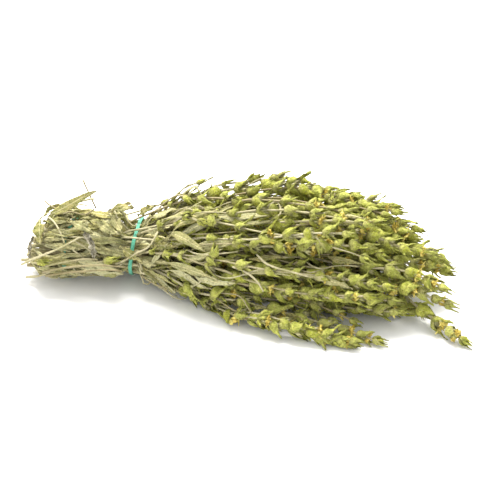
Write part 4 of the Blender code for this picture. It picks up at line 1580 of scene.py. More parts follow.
    def draw_cup(self, course: Strand, number: int, at: float, size: float, bud: bool) -> None:
        """One cup of two beaked bracts, with its calyces and, in some, its dried flowers.

        Args:
            course: The stem or side shoot that carries it.
            number: Its number from the first one up.
            at: Its distance along the course.
            size: Its size, with 1 for a full cup.
            bud: Whether it is the closed bud at the tip.
        """
        deep = STEM.cup_length * size
        (place,) = along(course.points, [at])
        (heading,) = headings(course.points, [at + deep / 2], deep / 2)
        heading = unit(heading + (0.0 if bud else 0.12) * self.noise.standard_normal(3))
        wide = STEM.cup_radius * size * self.draw.uniform(*self.detail.cup_scale)
        deep *= self.draw.uniform(0.86, 1.02)
        roll = self.roll + (math.pi / 2 if number % 2 else 0.0) + self.draw.uniform(-0.25, 0.25)
        cup = Cup(place, heading, *cross_axes(heading, roll), wide, deep)
        open_up = self.draw.uniform(-0.18, 0.26)
        whole = course is self.stem
        grid = self.detail.bract_grid(whole)
        for sign, scale in ((1.0, 1.025), (-1.0, 0.965)):
            narrow = 0.42 if bud else self.draw.uniform(-0.12, 0.18)
            flare = self.draw.uniform(0.0, 0.35) if bud else max(0.0, self.draw.gauss(0.60, 0.50))
            self.draw_bract(cup.turned(sign, scale), narrow - open_up, flare, grid)
        if bud:
            base = place + heading * deep * 0.18
            inner = Cup(base, heading, cup.second, -cup.first, wide * 0.70, deep * 0.92)
            for sign in (1.0, -1.0):
                self.draw_bract(inner.turned(sign), 0.45, 0.1, grid)
            return
        self.draw_flakes(cup)
        count = self.draw.randint(*self.detail.calyces) - (0 if whole else 1)
        flowering = self.draw.random() < self.flower_share(place) * (1.0 if whole else 0.7)
        for k in range(count):
            angle = math.tau * (k + self.draw.uniform(-0.25, 0.25)) / count
            self.draw_calyx(cup, angle, whole)
            if flowering and self.draw.random() < 0.92:
                self.draw_flower(cup, angle)

    def draw_flakes(self, cup: Cup) -> None:
        """The narrow leafy bracts that stand out under a cup."""
        for side in (1.0, -1.0):
            if self.draw.random() > self.detail.flake_share:
                continue
            turn = self.draw.uniform(-0.8, 0.8)
            outward = unit((cup.second * math.cos(turn) + cup.first * math.sin(turn)) * side)
            length = self.draw.uniform(*self.detail.flake_lengths)
            rise, bend = self.draw.uniform(0.15, 0.9), self.draw.uniform(-0.45, 0.6)
            s = np.linspace(0.0, 1.0, int(length / ROOM.bead) + 2)[:, None]
            aside = s * math.sin(rise) + bend * s ** 2 * 0.5
            points = cup.place + length * (cup.heading * s * math.cos(rise) + outward * aside)
            outs = np.tile(unit(outward - cup.heading * 0.3), (len(points), 1))
            look = replace(LeafLook.drawn(self.draw, 0.8), wave=0.0002, crumple=0.00012)
            half_width = self.draw.uniform(*self.detail.flake_widths)
            self.draw_blade(points, outs, half_width, look, (6, 3), Finish.BRACT)

    def flower_share(self, place: Array) -> float:
        """How likely a cup at that place still holds its flowers: less so on the far side."""
        share = float(np.interp(place[0], self.detail.flower_x, self.detail.flower_shares))
        return share if place[1] < FORM.side(place[0]) + 0.010 else share * 0.5

    def draw_bract(self, cup: Cup, narrow: float, flare: float, grid: tuple[list[int], int]) -> None:
        """One bract of a cup.

        Args:
            cup: The cup, with its first direction towards the bract.
            narrow: How much the rim draws in.
            flare: How far the beak bends outward.
            grid: Its rows of the midline and its columns.
        """
        detail, draw = self.detail, self.draw
        rows, columns = grid
        t = np.array(detail.bract_steps)[rows]
        beak = smooth_step((t - 0.55) / 0.45)
        radius = np.array(detail.bract_radius)[rows] * (1.0 - narrow * smooth_step((t - 0.3) / 0.7) * 0.9)
        radius = radius + flare * 0.75 * beak ** 1.3
        longer = draw.uniform(-0.30, 0.35) + 0.45 * smooth_step((cup.place[0] - 0.22) / 0.08)
        ahead = np.array(detail.bract_ahead)[rows] * draw.uniform(0.90, 1.04) * (1.0 + longer * 0.4 * beak)
        ahead = ahead - flare * 0.20 * beak ** 1.6
        lean = draw.uniform(-0.25, 0.25) * beak
        u = np.linspace(-1.0, 1.0, columns)
        half = np.abs(u)
        angle = np.array(detail.bract_angle)[rows][:, None] * u * draw.uniform(0.93, 1.04) + lean[:, None]
        ripple = 0.085 * half ** 2 * np.sin(11.0 * t[:, None] + draw.uniform(0.0, math.tau) + u)
        for _ in range(3):
            wave = draw.uniform(3.0, 9.0) * t[:, None] + draw.uniform(-4.5, 4.5) * u
            ripple = ripple + 0.060 * np.sin(wave + draw.uniform(0.0, math.tau))
        keel = draw.uniform(0.06, 0.24) * (1.0 - half) * smooth_step((t - 0.15) / 0.3)[:, None]
        crumple = 0.070 * self.noise.standard_normal(angle.shape)
        crumple[0] = 0.0
        rough = (ripple + crumple) * np.minimum(1.0, t * 4.0)[:, None]
        reach = cup.wide * (radius[:, None] * (1.0 + keel) + rough)
        forward = cup.deep * (ahead[:, None] - 0.05 * half ** 2 * (1.0 - beak)[:, None] + 0.5 * crumple)
        base = cup.place + cup.heading * forward[..., None]
        middle = moved(base, cup.first, reach * np.cos(angle), cup.second, reach * np.sin(angle))
        # The 0.5 * half ** 4 term raises the tone mark towards the edges: the straw rims it gives are
        # painted light shining through them
        tone = min(1.0, max(0.0, draw.gauss(0.35 + 0.3 * self.tone, 0.24))) + 0.5 * half ** 4
        marks = marked(middle, reach * angle, (t * cup.deep * 1.5)[:, None], tone)
        self.pen.shell(middle, marks, detail.bract_thickness, Finish.BRACT)
        for edge, inside in ((0, 1), (-1, -2)):
            self.fringe(middle[2:-2, edge], middle[2:-2, inside], 3, self.tone)

    def draw_calyx(self, cup: Cup, angle: float, whole: bool) -> None:
        """One calyx between the bracts: a ribbed tube that ends in five pointed teeth.

        Args:
            cup: The cup.
            angle: Where round the cup it stands.
            whole: Whether its tube swells, which it doesn't on a side shoot.
        """
        outward, root = cup.spot(angle, 0.34, 0.22)
        lean = cup.heading + outward * self.draw.uniform(0.05, 0.38)
        lean = unit(lean + self.noise.standard_normal(3) * 0.10)
        side = unit(np.cross(lean, outward))
        length = cup.deep * self.draw.uniform(0.62, 0.80)
        sides = 10
        angles = math.tau * np.arange(sides) / sides
        pointed = np.arange(sides) % 2 == 0
        rings = ((0.0, 0.10), (0.60, 0.26)) if whole else ((0.0, 0.12),)
        ahead = [np.full(sides, up) for up, _ in rings] + [np.where(pointed, 1.22, 0.74)]
        girth = [np.full(sides, out) for _, out in rings] + [np.where(pointed, 0.34, 0.28)]
        ahead, girth = np.array(ahead) * length, np.array(girth) * cup.wide
        base = root + lean * ahead[..., None]
        places = moved(base, side, girth * np.cos(angles), np.cross(side, lean), girth * np.sin(angles))
        marks = marked(places, np.arange(sides) / 2.0, ahead, self.tone)
        index = self.pen.sheet(places, marks, Finish.CALYX, wrap=True)
        inside = root + lean * length * 0.45
        self.pen.cap(index[-1], inside[None], marks[0, :1], Finish.CALYX, True)

    def draw_flower(self, cup: Cup, angle: float) -> None:
        """A shrivelled corolla of six to eight crumpled petals in one calyx."""
        outward, root = cup.spot(angle, 0.50, 0.86)
        lean = unit(cup.heading + outward * self.draw.uniform(0.1, 0.7))
        side = unit(np.cross(lean, outward))
        tone = self.draw.random()
        t, u = np.linspace(0.0, 1.0, 3)[:, None], np.linspace(-1.0, 1.0, 3)
        for petal in range(self.draw.randint(6, 8)):
            turn = math.tau * petal / 4 + self.draw.uniform(-0.6, 0.6)
            bent = side * math.cos(turn) + np.cross(lean, side) * math.sin(turn)
            length = self.draw.uniform(0.0020, 0.0046)
            half_width = self.draw.uniform(0.0008, 0.0016)
            open_up = self.draw.uniform(0.1, 1.2)
            middle = root + lean * length * 0.9 * np.sin(t * 1.4)[..., None]
            middle = middle + bent * length * open_up * (t ** 2)[..., None]
            broad = half_width * (0.25 + np.sin(t * 2.6))
            middle = middle + np.cross(lean, bent) * (broad * u)[..., None]
            middle = middle + 0.00038 * self.noise.standard_normal((3, 3, 3))
            marks = marked(middle, broad * u, t * length, tone + self.draw.uniform(-0.4, 0.4))
            self.pen.shell(middle, marks, self.detail.petal_thickness, Finish.PETAL)


@dataclass(frozen=True)
class Run:
    """A run of laid leaves or twigs: how many, where they start along and round it, and their lengths."""

    count: int
    x_range: Pair
    angles: Pair
    lengths: Pair

    def start(self, number: int, draw: random.Random) -> Pair:
        """The place along the bunch and the angle round it where one of them starts, spread evenly."""
        starts = []
        for (low, high), step in ((self.x_range, 0.6180), (self.angles, 0.7549)):
            starts.append(low + (high - low) * ((number * step + draw.uniform(0.0, 0.1)) % 1.0))
        return starts[0], starts[1]


@dataclass(frozen=True)
class SpareLeafRule:
    """How many leaves the looks add to those of the solids, and where."""

    tied: Run = Run(190, (0.004, 0.104), (232.0, -52.0), (0.016, 0.034))
    cover: Run = Run(14, (0.013, 0.027), (220.0, 95.0), (0.026, 0.036))
    fanned: Run = Run(16, (0.110, 0.235), (195.0, -15.0), (0.030, 0.046))
    widths: Pair = (0.42, 1.12)
    lift: float = 0.0004
    heading: float = 60.0
    spread: float = 27.0
    most_proud: float = 0.0030
    over_end_band: float = 0.90
    over_middle_band: float = 0.05
    low_angle: float = 186.0
    low_kept: float = 0.40
    low_until: float = 0.075


def under_band(x: Array, reach: Array, band_x: float) -> Array:
    """How far out leaves or twigs lie that go under a band."""
    near = np.exp(-(((x - band_x) / 0.0085) ** 4))
    return reach + (np.minimum(reach, BAND.inner_radius - 0.0070) - reach) * near


class SpareLeaves:
    """The leaves that the looks add, laid over the bunch in the same way as those of the solids."""

    def __init__(self, bunch: Bunch, rule: SpareLeafRule) -> None:
        """Takes the settled bunch with its laid leaves."""
        self.bunch = bunch
        self.rule = rule
        self.draw = random.Random(FORM.seed * 57)

    def lay_all(self) -> list[Strand]:
        """Lays every spare leaf and returns them."""
        rule = self.rule
        runs = (rule.tied, rule.cover, rule.fanned)
        return [self.lay(number, run) for run in runs for number in range(run.count)]

    def lay(self, number: int, run: Run) -> Strand:
        """Lays one leaf.

        Args:
            number: Its number, which spreads the leaves evenly.
            run: The run that it belongs to.

        Returns:
            The leaf.
        """
        draw, rule, bunch = self.draw, self.rule, self.bunch
        x, angle = run.start(number, draw)
        x = max(x, 0.006 + FORM.cut_slant * max(0.0, math.sin(math.radians(angle))))
        tied_leaf = run is rule.tied
        heading = draw.gauss(0.0, rule.spread * (1.0 if tied_leaf else 0.5))
        heading = max(-rule.heading, min(rule.heading, heading))
        length = draw.uniform(*run.lengths)
        half_width = STEM.leaf_half_width * draw.uniform(*rule.widths)
        if x > rule.low_until:
            angle = min(angle, 205.0)
        if not tied_leaf and 20.0 < angle < 88.0:
            angle -= 66.0
        if angle > rule.low_angle and draw.random() > rule.low_kept:
            half_width, heading = half_width * 0.45, heading * 0.35
        count = int(length / ROOM.bead) + 1
        axis, out, tangent = bunch.leaf_axes(x, angle, heading, count)
        needed = bunch.reach_over(axis, out, tangent, half_width * 0.4) + rule.lift
        tied = 1.0 - smooth_step((axis[:, 0] - BAND.middle_x - 0.012) / 0.02)
        most = FORM.half_height(axis[:, 0]) + rule.most_proud
        needed = np.where(tied > 0.0, np.minimum(needed, most + (1.0 - tied) * 0.05), needed)
        reach = np.maximum(needed, 0.6 * needed.max())
        for _ in range(4 if tied_leaf else 9):
            evened(reach)
        for band_x, share in ((BAND.end_x, rule.over_end_band), (BAND.middle_x, rule.over_middle_band)):
            if draw.random() < share:
                near = np.exp(-(((axis[:, 0] - band_x) / 0.006) ** 2))
                reach = np.maximum(reach, (BAND.inner_radius + BAND.thickness - 0.0010) * near)
            else:
                reach = under_band(axis[:, 0], reach, band_x)
        reach[:3] -= (0.0035, 0.0020, 0.0006)
        points = kept_in(axis + out * reach[:, None], 0.0)
        points[:, 2] = np.maximum(points[:, 2], 0.0015)
        root = bunch.nearest_root(points[0])
        owner = int(bunch.owner[root])
        points[0] += (bunch.place[root] - points[0]) * 0.5
        anchor = root - bunch.stems[owner].first
        leaf = Strand(owner, leaf_radii(count, half_width), points, [], anchor, half_width, out)
        bunch.keep(leaf, rule.lift)
        return leaf


def kept_in(points: Array, slack: float) -> Array:
    """The points, drawn in sideways where they would stand out beyond the bunch's own width."""
    side = FORM.side(points[:, 0])
    height = (points[:, 2] - 0.030) / 0.075
    most = FORM.half_width(points[:, 0]) * np.sqrt(np.clip(1.0 - height ** 2, 0.1, 1.0)) + slack
    points[:, 1] = side + np.clip(points[:, 1] - side, -most, most)
    return points


@dataclass(frozen=True)
class SideShootRule:
    """How the side shoots that fill the flower half lie beside their stems."""

    before_cups: float = 0.052
    early_cups: tuple[float, ...] = (0.046, 0.034, 0.023, 0.011)
    early_sizes: Pair = (0.42, 0.62)
    apart: float = 0.0088
    leaving: float = 0.022
    directions: int = 12
    sizes: Pair = (0.54, 0.82)
    room_radius: float = 0.0034
    stalk_radius: float = 0.0010
    each: int = 2
    bow: float = 0.0050
    stop_short: Pair = (0.004, 0.040)
    lowest: float = 0.0045
    highest: float = 0.0735
    furthest: float = 0.90
    off_band: float = 0.014


class SideShoots:
    """Flowering side shoots that lie in the gaps between the stems of the solids."""

    def __init__(self, bunch: Bunch, rule: SideShootRule) -> None:
        """Takes the settled bunch."""
        self.bunch = bunch
        self.rule = rule
        self.place = bunch.place.copy()
        self.radius = bunch.radius.copy()
        self.owner = bunch.owner.copy()

    def grow_all(self) -> dict[int, list[Strand]]:
        """Grows the shoots of each outer stem and returns them by stem number."""
        grown = {stem.stem: [] for stem in self.bunch.stems}
        for turn in range(self.rule.each):
            for stem in self.bunch.stems[FORM.inner_stems :]:
                draw = random.Random(FORM.seed * 271 + stem.stem + 1000 * turn)
                grown[stem.stem].append(self.grow(stem, draw))
        return grown

    def grow(self, stem: Strand, draw: random.Random) -> Strand:
        """Grows one shoot on the side of a stem that has most room.

        Args:
            stem: The stem.
            draw: The shoot's seeded draws.

        Returns:
            The shoot, with its cups set between those of the stem.
        """
        rule = self.rule
        first = max(2, int((stem.cups[0][0] - rule.before_cups) / ROOM.bead))
        last = len(stem.points) - int(draw.uniform(*rule.stop_short) / ROOM.bead)
        course = stem.points[first:last]
        s = ROOM.bead * np.arange(len(course))
        leave = smooth_step(s / rule.leaving)[:, None] * rule.apart
        heading = unit(course[-1] - course[0])
        bow = np.sin(s * draw.uniform(22.0, 45.0) + draw.uniform(0.0, math.tau)) * smooth_step(s / 0.05)
        across, _ = cross_axes(heading, draw.uniform(0.0, math.tau))
        course = course + across * bow[:, None] * rule.bow
        others = (self.owner != stem.stem) & (self.place[:, 0] > course[0, 0] - 0.01)
        best, best_room = course, -1.0
        for turn in range(rule.directions):
            away, _ = cross_axes(heading, math.tau * turn / rule.directions)
            points = course + away * leave
            side = (np.abs(points[:, 1] - FORM.side(points[:, 0])) / FORM.half_width(points[:, 0])).max()
            low, high = points[:, 2].min(), points[:, 2].max()
            if low < rule.lowest or high > rule.highest or side > rule.furthest:
                continue
            apart = norm(points[4:, None] - self.place[None, others])
            room = np.minimum((apart - self.radius[others]).min(axis=1), 0.005).mean()
            if room > best_room:
                best, best_room = points, room
        start = stem.cups[0][0] - ROOM.bead * first
        middles = [0.5 * (a[0] + b[0]) - ROOM.bead * first for a, b in zip(stem.cups, stem.cups[1:])]
        places = [start - early for early in rule.early_cups] + middles
        end = s[-1] - STEM.cup_length * 0.6
        sizes = [rule.early_sizes] * len(rule.early_cups) + [rule.sizes] * len(middles)
        nearest = BAND.middle_x + rule.off_band
        cups = []
        for at, size in zip(places, sizes):
            if 0.006 < at < end - 0.006 and np.interp(at, s, best[:, 0]) > nearest:
                cups.append((at, draw.uniform(*size)))
        cups.append((end, rule.sizes[0]))
        self.place = np.vstack([self.place, best])
        self.radius = np.concatenate([self.radius, np.full(len(best), rule.room_radius)])
        self.owner = np.concatenate([self.owner, np.full(len(best), stem.stem + 1000)])
        radii = np.full(len(best), rule.room_radius)
        return Strand(stem.stem, radii, best, cups, half_width=rule.stalk_radius)


@dataclass(frozen=True)
class TwigRule:
    """The bent twigs that lie on the bunch: those seen one by one, and how the rest are drawn.

    Each seen one has its knots, its radius, the size of the cup at its tip, and its tone, 0 for brown.
    """

    seen: tuple[tuple[Knots, float, float, float], ...] = (
        (((770, -212, 260), (830, -217, 290), (930, -212, 370), (975, -222, 400), (1030, -232, 435),
          (1055, -202, 475), (1085, -147, 530)), 0.001, 0.0, 0.5),
        (((147, 163, 530), (175, 143, 515), (267, 95, 505), (423, 24, 480)), 0.001, 0.0, 0.1),
        (((425, 274, 673), (473, 233, 590), (543, 183, 470)), 0.0009, 0.0, 0.0),
        (((60, -262, 222), (198, -268, 304), (358, -238, 372), (500, -168, 440)), 0.0014, 0.0, 0.6),
        (((52, -170, 50), (160, -200, 85), (300, -185, 150)), 0.0014, 0.0, 0.4),
        (((1820, -265, 470), (1900, -374, 464), (1982, -398, 452), (2075, -403, 438),
          (2224, -401, 400)), 0.0011, 0.0, 0.6),
        (((1665, -390, 431), (1765, -408, 410), (1855, -441, 355), (1898, -445, 268)), 0.001, 0.0, 0.7),
        (((220, -267, 173), (332, -270, 215), (527, -324, 291), (675, -313, 306), (780, -253, 266),
          (855, -227, 249)), 0.0014, 0.0, 0.2),
        (((244, -272, 144), (394, -280, 193), (587, -324, 253), (742, -332, 286),
          (834, -238, 215)), 0.0013, 0.0, 0.12),
        (((256, -283, 240), (404, -258, 274), (560, -264, 320), (650, -262, 318)), 0.0012, 0.0, 0.3),
        (((620, -222, 270), (680, -232, 285), (735, -229, 300)), 0.0009, 0.74, 0.4),
        (((140, -257, 240), (190, -268, 255), (240, -271, 262)), 0.0009, 0.6, 0.4),
    )
    tied: Run = Run(26, (0.010, 0.085), (215.0, 5.0), (0.018, 0.036))
    fanned: Run = Run(42, (0.086, 0.225), (215.0, 5.0), (0.024, 0.052))
    low_until: float = 0.066
    low_angle: float = 196.0
    tied_radii: Pair = (0.0006, 0.0013)
    fanned_radii: Pair = (0.0006, 0.0009)
    cups: Pair = (0.42, 0.70)


class Twigs:
    """Lays the twigs and gives each one to the stem nearest to its root."""

    def __init__(self, bunch: Bunch, rule: TwigRule) -> None:
        """Takes the bunch with all its leaves."""
        self.bunch = bunch
        self.rule = rule
        self.draw = random.Random(FORM.seed * 83)

    def lay_all(self, shoots: dict[int, list[Strand]]) -> None:
        """Adds every twig to the side shoots of its stem."""
        rule = self.rule
        for knots, radius, cup, tone in rule.seen:
            self.add(shoots, beaded(knots), radius, cup, tone)
        for number in range(rule.tied.count):
            radius = self.draw.uniform(*rule.tied_radii)
            self.add(shoots, self.lay(number, rule.tied, 26.0, 22.0), radius, 0.0)
        for number in range(rule.fanned.count):
            radius = self.draw.uniform(*rule.fanned_radii)
            cup = self.draw.uniform(*rule.cups) if number % 4 else 0.0
            self.add(shoots, self.lay(number, rule.fanned, 16.0, 32.0), radius, cup)

    def add(
        self,
        shoots: dict[int, list[Strand]],
        points: Array,
        radius: float,
        cup: float,
        tone: float | None = None,
    ) -> None:
        """Turns a row of places into a twig of the nearest stem."""
        owner = int(self.bunch.owner[self.bunch.nearest_root(points[0])])
        length = ROOM.bead * (len(points) - 1)
        cups = [(max(0.002, length - STEM.cup_length * cup * 0.6), cup)] if cup else []
        radii = np.full(len(points), radius)
        shoots[owner].append(Strand(owner, radii, points, cups, half_width=radius, tone=tone))

    def lay(self, number: int, run: Run, spread: float, bend: float) -> Array:
        """Lays one twig over the outside of the bunch.

        Args:
            number: Its number, which spreads the twigs evenly.
            run: The run that it belongs to.
            spread: How far their headings vary, in degrees.
            bend: How far their headings turn on the way, in degrees.

        Returns:
            Its places, one bead apart.
        """
        draw, rule, bunch = self.draw, self.rule, self.bunch
        x, angle = run.start(number, draw)
        if x > rule.low_until:
            angle = min(angle, rule.low_angle)
        count = int(draw.uniform(*run.lengths) / ROOM.bead)
        start, turn = draw.gauss(0.0, spread), draw.gauss(0.0, bend)
        way = np.radians(start + turn * np.linspace(0.0, 1.0, count))
        at_x = x + np.cumsum(np.cos(way)) * ROOM.bead
        axis = FORM.axis(at_x)
        around = math.radians(angle) + np.cumsum(np.sin(way)) * ROOM.bead / FORM.half_width(at_x)
        out, tangent = round_axes(around)
        reach = bunch.reach_over(axis, out, tangent, 0.0008)
        reach = np.maximum(reach, 0.6 * reach.max())
        for _ in range(5):
            evened(reach)
        reach[:4] -= (0.006, 0.004, 0.002, 0.0008)
        reach = under_band(at_x, reach, BAND.middle_x)
        points = axis + out * reach[:, None]
        points[:, 2] = np.maximum(points[:, 2], 0.003)
        return kept_in(points, 0.0015)


@dataclass(frozen=True)
class SeenLeafRule:
    """The leaves seen one by one, each with its knots, half-width and look, and how the others lie."""

    lifted_look: LeafLook = LeafLook(fold=0.12, twist=0.35, wave=0.0004, crumple=0.0002, tone=0.10)
    lifted_out: Place = (0.0, -0.62, 0.78)
    lifted_rise: Place = (0.0080, 0.0, 0.0115)
    woolly: LeafLook = LeafLook(fold=0.55, curl=0.5, wave=0.0014, crumple=0.0010, tone=2.0)
    curled: LeafLook = LeafLook(fold=0.60, curl=-0.5, twist=0.5, wave=0.0010, crumple=0.0008, tone=0.15)
    flat: LeafLook = LeafLook(fold=0.42, curl=-0.5, twist=0.3, wave=0.0009, crumple=0.0005, tone=0.42)
    proud: float = 0.0272
    proud_low: float = 0.0045
    over_band: Pair = (148.0, 166.0)
    seen: tuple[tuple[Knots, float, LeafLook], ...] = (
        (((513, -117, 475), (583, -187, 435), (643, -232, 345)), 0.004, woolly),
        (((583, -177, 450), (613, -222, 400), (623, -252, 310)), 0.0036, woolly),
        (((120, -90, 370), (105, -160, 310), (110, -200, 240)), 0.0028, woolly),
        (((145, 10, 455), (165, -85, 420), (195, -170, 340)), 0.0052, curled),
        (((170, 0, 450), (270, -20, 475), (390, -40, 485)), 0.0036, curled),
        (((676, 13, 570), (760, 40, 610), (850, 80, 612)), 0.0022, curled),
        (((690, 70, 545), (775, 85, 570), (850, 110, 560)), 0.0038, flat),
        (((880, 90, 500), (940, 85, 560), (1030, 110, 600)), 0.0036, curled),
        (((1590, -350, 125), (1765, -409, 137), (1960, -482, 138)), 0.0048, curled),
        (((2020, -440, 90), (2150, -485, 105), (2280, -480, 80)), 0.0042, curled),
        (((400, -60, 500), (511, -126, 510), (614, -179, 490)), 0.0036, flat),
        (((590, -40, 510), (700, -121, 495), (790, -155, 480)), 0.0036, flat),
        (((680, 30, 545), (735, -10, 505), (800, -110, 470)), 0.0044, flat),
        (((800, -180, 395), (880, -205, 355), (985, -225, 290)), 0.0042, curled),
        (((1023, -167, 405), (1118, -188, 439), (1242, -216, 450)), 0.0034, curled),
        (((1140, -270, 350), (1294, -345, 368), (1572, -445, 345)), 0.0036, flat),
        (((2210, -408, 414), (2316, -411, 405), (2522, -405, 335)), 0.0036, flat),
    )


class SeenLeaves:
    """Fits the leaves of the solids to what the photograph shows, and adds those seen one by one."""

    def __init__(self, bunch: Bunch, rule: SeenLeafRule) -> None:
        """Takes the bunch with all its leaves."""
        self.bunch = bunch
        self.rule = rule

    def press(self) -> None:
        """Presses the proud leaves of the tied half down, tucks leaves under the band and lifts one."""
        rule = self.rule
        for leaf in self.bunch.laid:
            count = len(leaf.points)
            if leaf.lifted:
                rise = smooth_step(np.linspace(-0.2, 1.0, count))
                leaf.points += rise[:, None] * np.array(rule.lifted_rise)
                leaf.out, leaf.look = np.tile(rule.lifted_out, (count, 1)), rule.lifted_look
                continue
            x = leaf.points[:, 0]
            if x[0] < 0.022 and leaf.points[2, 2] > 0.044:
                leaf.points[0] = leaf.points[2] + (-0.0052, 0.0, -0.0040)
                leaf.points[1] = 0.5 * (leaf.points[0] + leaf.points[2]) + (0.0, 0.0, 0.0008)
                leaf.points[:, 2] -= 0.0075 * (1.0 - smooth_step((x - 0.012) / 0.042))
            axis = FORM.axis(x)
            axis[:, 2] -= np.interp(x, FORM.lower_at, FORM.lower_by)
            away = leaf.points - axis
            reach = norm(away)
            angle = np.degrees(np.arctan2(away[:, 2], away[:, 1])) % 360.0
            tied = 1.0 - smooth_step((x - BAND.middle_x - 0.010) / 0.030)
            under = np.where(angle < 270.0, smooth_step((angle - 180.0) / 20.0), 0.0)
            proud = np.maximum(reach - rule.proud + rule.proud_low * under, 0.0) * tied
            wanted = reach - 0.72 * proud
            at_band = np.interp(BAND.middle_x, x, angle)
            if x[0] < BAND.middle_x < x[-1] and not rule.over_band[0] < at_band < rule.over_band[1]:
                wanted = under_band(x, wanted, BAND.middle_x)
            leaf.points -= away * ((reach - wanted) / np.maximum(reach, 1e-6))[:, None]

    def add(self) -> None:
        """Adds the leaves that are seen one by one."""
        for knots, half_width, look in self.rule.seen:
            points = beaded(knots)
            out = unit(unit(points - FORM.axis(points[:, 0])) + (0.0, -0.35, 0.20))
            owner = int(self.bunch.owner[self.bunch.nearest_root(points[0])])
            radii = leaf_radii(len(points), half_width)
            self.bunch.laid.append(Strand(owner, radii, points, [], 0, half_width, out, look=look))


@dataclass(frozen=True)
class ElasticBand:
    """A flat elastic band with rounded edges, as it lies stretched round the bunch."""

    name: str
    path: BandPath
    lean: float
    sections: int = 168
    corner: int = 12

    def build(self, finish: bpy.types.Material, shift: Array) -> bpy.types.Object:
        """Draws the band and returns its object."""
        turns = np.arange(self.sections) * len(self.path.inner) / self.sections
        inner = self.around(self.path.inner, turns)
        out = unit(self.around(self.path.out, turns))
        angles = math.tau * np.arange(self.corner) / self.corner
        wide = BAND.width / 2 * np.sign(np.cos(angles)) * np.abs(np.cos(angles)) ** 0.55
        thick = BAND.thickness / 2 * (1.0 + np.sign(np.sin(angles)) * np.abs(np.sin(angles)) ** 0.6)
        turn_x = np.array([1.0, 0.0, 0.0])
        lean = turn_x * (self.lean * (inner[:, 2] - inner[:, 2].mean()))[:, None]
        places = moved((inner + lean)[:, None], turn_x, wide[None], out[:, None], thick[None])
        marks = marked(places, wide, (np.arange(self.sections) * 0.0009)[:, None], 0.5)
        places = np.concatenate([places, places[:1]])
        marks = np.concatenate([marks, marks[:1]])
        pen = MeshPen()
        pen.sheet(places[:, ::-1], marks[:, ::-1], Finish.STALK, wrap=True)
        return pen.make(self.name, [finish], shift)

    @staticmethod
    def around(points: Array, turns: Array) -> Array:
        """Points of a closed smooth curve through the given ones."""
        count = len(points)
        low = np.floor(turns).astype(int)
        t = (turns - low)[:, None]
        p0, p1, p2, p3 = (points[(low + k) % count] for k in (-1, 0, 1, 2))
        return 0.5 * (
            2.0 * p1
            + (p2 - p0) * t
            + (2.0 * p0 - 5.0 * p1 + 4.0 * p2 - p3) * t ** 2
            + (3.0 * p1 - p0 - 3.0 * p2 + p3) * t ** 3
        )


# The studio


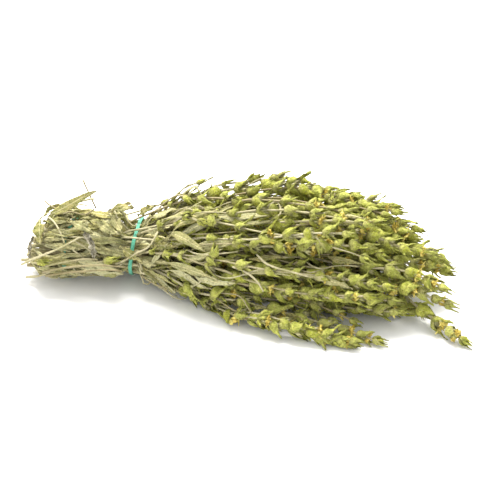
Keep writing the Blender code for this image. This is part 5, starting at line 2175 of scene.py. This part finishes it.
@dataclass(frozen=True)
class Studio:
    """The pale floor, the soft light and the camera."""

    azimuth: float = 8.0
    elevation: float = 32.0
    distance: float = 0.86
    lens: float = 85.0
    aim: Place = (0.002, 0.004, 0.0345)
    sky: float = 1.20
    lamp_power: float = 42.0
    lamp_place: Place = (-0.22, 0.58, 1.25)
    lamp_size: float = 0.7
    lamp_colour: Colour = (1.0, 0.975, 0.94)
    sky_colour: Colour = (0.985, 0.985, 0.985)
    floor_half: float = 4.0

    def build(self) -> None:
        """Sets everything up."""
        self.floor()
        self.lights()
        self.camera()
        bpy.context.scene.view_settings.view_transform = "Standard"

    def floor(self) -> None:
        """The floor, a plain pale sheet."""
        mesh = bpy.data.meshes.new("floor")
        far = self.floor_half
        corners = [(x * far, y * far, 0.0) for x, y in ((-1, -1), (1, -1), (1, 1), (-1, 1))]
        mesh.from_pydata(corners, [], [(0, 1, 2, 3)])
        mesh.materials.append(PaleFloor().make())
        floor = bpy.data.objects.new("floor", mesh)
        bpy.context.scene.collection.objects.link(floor)

    def lights(self) -> None:
        """A bright sky all round and one large soft lamp above and behind."""
        world = bpy.data.worlds.new("soft_sky")
        world.use_nodes = True
        sky = world.node_tree.nodes["Background"]
        sky.inputs["Color"].default_value = (*self.sky_colour, 1.0)
        sky.inputs["Strength"].default_value = self.sky
        bpy.context.scene.world = world
        lamp = bpy.data.lights.new("soft_lamp", "AREA")
        lamp.energy = self.lamp_power
        lamp.size = self.lamp_size
        lamp.color = self.lamp_colour
        holder = bpy.data.objects.new("soft_lamp", lamp)
        holder.location = self.lamp_place
        holder.rotation_euler = (-holder.location).to_track_quat("-Z", "Y").to_euler()
        bpy.context.scene.collection.objects.link(holder)

    def camera(self) -> None:
        """The camera at the photograph's viewing angle."""
        azimuth, elevation = math.radians(self.azimuth), math.radians(self.elevation)
        back = Vector((
            math.sin(azimuth) * math.cos(elevation),
            -math.cos(azimuth) * math.cos(elevation),
            math.sin(elevation),
        ))
        camera = bpy.data.objects.new("camera", bpy.data.cameras.new("camera"))
        camera.data.lens = self.lens
        camera.data.sensor_width = 36.0
        camera.location = Vector(self.aim) + back * self.distance
        camera.rotation_mode = "QUATERNION"
        camera.rotation_quaternion = (-back).to_track_quat("-Z", "Y")
        bpy.context.scene.collection.objects.link(camera)
        bpy.context.scene.camera = camera


def frame_shift(path: BandPath) -> Array:
    """The move from the placement rule's frame to the frame of the solids, read off a band."""
    outer = np.vstack([path.inner, path.inner + path.out * BAND.thickness])
    low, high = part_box("band_middle")
    return np.array([
        (low.x + high.x) / 2 - path.x,
        (low.y + high.y) / 2 - (outer[:, 1].min() + outer[:, 1].max()) / 2,
        0.0,
    ])


def main() -> None:
    """Dresses the whole bunch."""
    logging.basicConfig(level=logging.INFO, format="%(message)s")
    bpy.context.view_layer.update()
    bunch = Bunch(*make_strands())
    bunch.settle()
    middle_path, end_path = lay_leaves(bunch)
    shift = frame_shift(middle_path)
    log.info("placement settled, shift %s", np.round(shift, 6).tolist())
    shoots = SideShoots(bunch, SideShootRule()).grow_all()
    spare = SpareLeaves(bunch, SpareLeafRule()).lay_all()
    Twigs(bunch, TwigRule()).lay_all(shoots)
    seen = SeenLeaves(bunch, SeenLeafRule())
    seen.press()
    seen.add()
    log.info("%d spare leaves, %d side shoots and twigs", len(spare), sum(map(len, shoots.values())))
    makers = (StrawStalk, CutPith, FeltedLeaf, BeakedBract, HairyCalyx, DriedPetal, PaleHair)
    finishes = [maker().make() for maker in makers]
    total = 0
    for stem in bunch.stems:
        own = [leaf for leaf in bunch.leaves + bunch.laid if leaf.stem == stem.stem]
        leafy = LeafyStem(stem, own, shoots.get(stem.stem, []), LeafyStemDetail())
        piece = leafy.build(finishes, shift)
        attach(piece, "root")
        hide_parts(f"stem_{stem.stem + 1:02d}")
        total += leafy.pen.triangles
        counts = (leafy.pen.triangles, len(own), len(stem.cups))
        log.info("%s: %d triangles, %d leaves, %d cups", piece.name, *counts)
    rubber = TurquoiseRubber().make()
    for name, path, lean in (("middle", middle_path, 0.11), ("end", end_path, 0.06)):
        band = ElasticBand(f"elastic_band_{name}", path, lean).build(rubber, shift)
        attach(band, "root")
        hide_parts(f"band_{name}")
        log.info("%s: built", band.name)
    log.info("%d triangles in all on the stems", total)
    Studio().build()


if __name__ == "__main__":
    main()
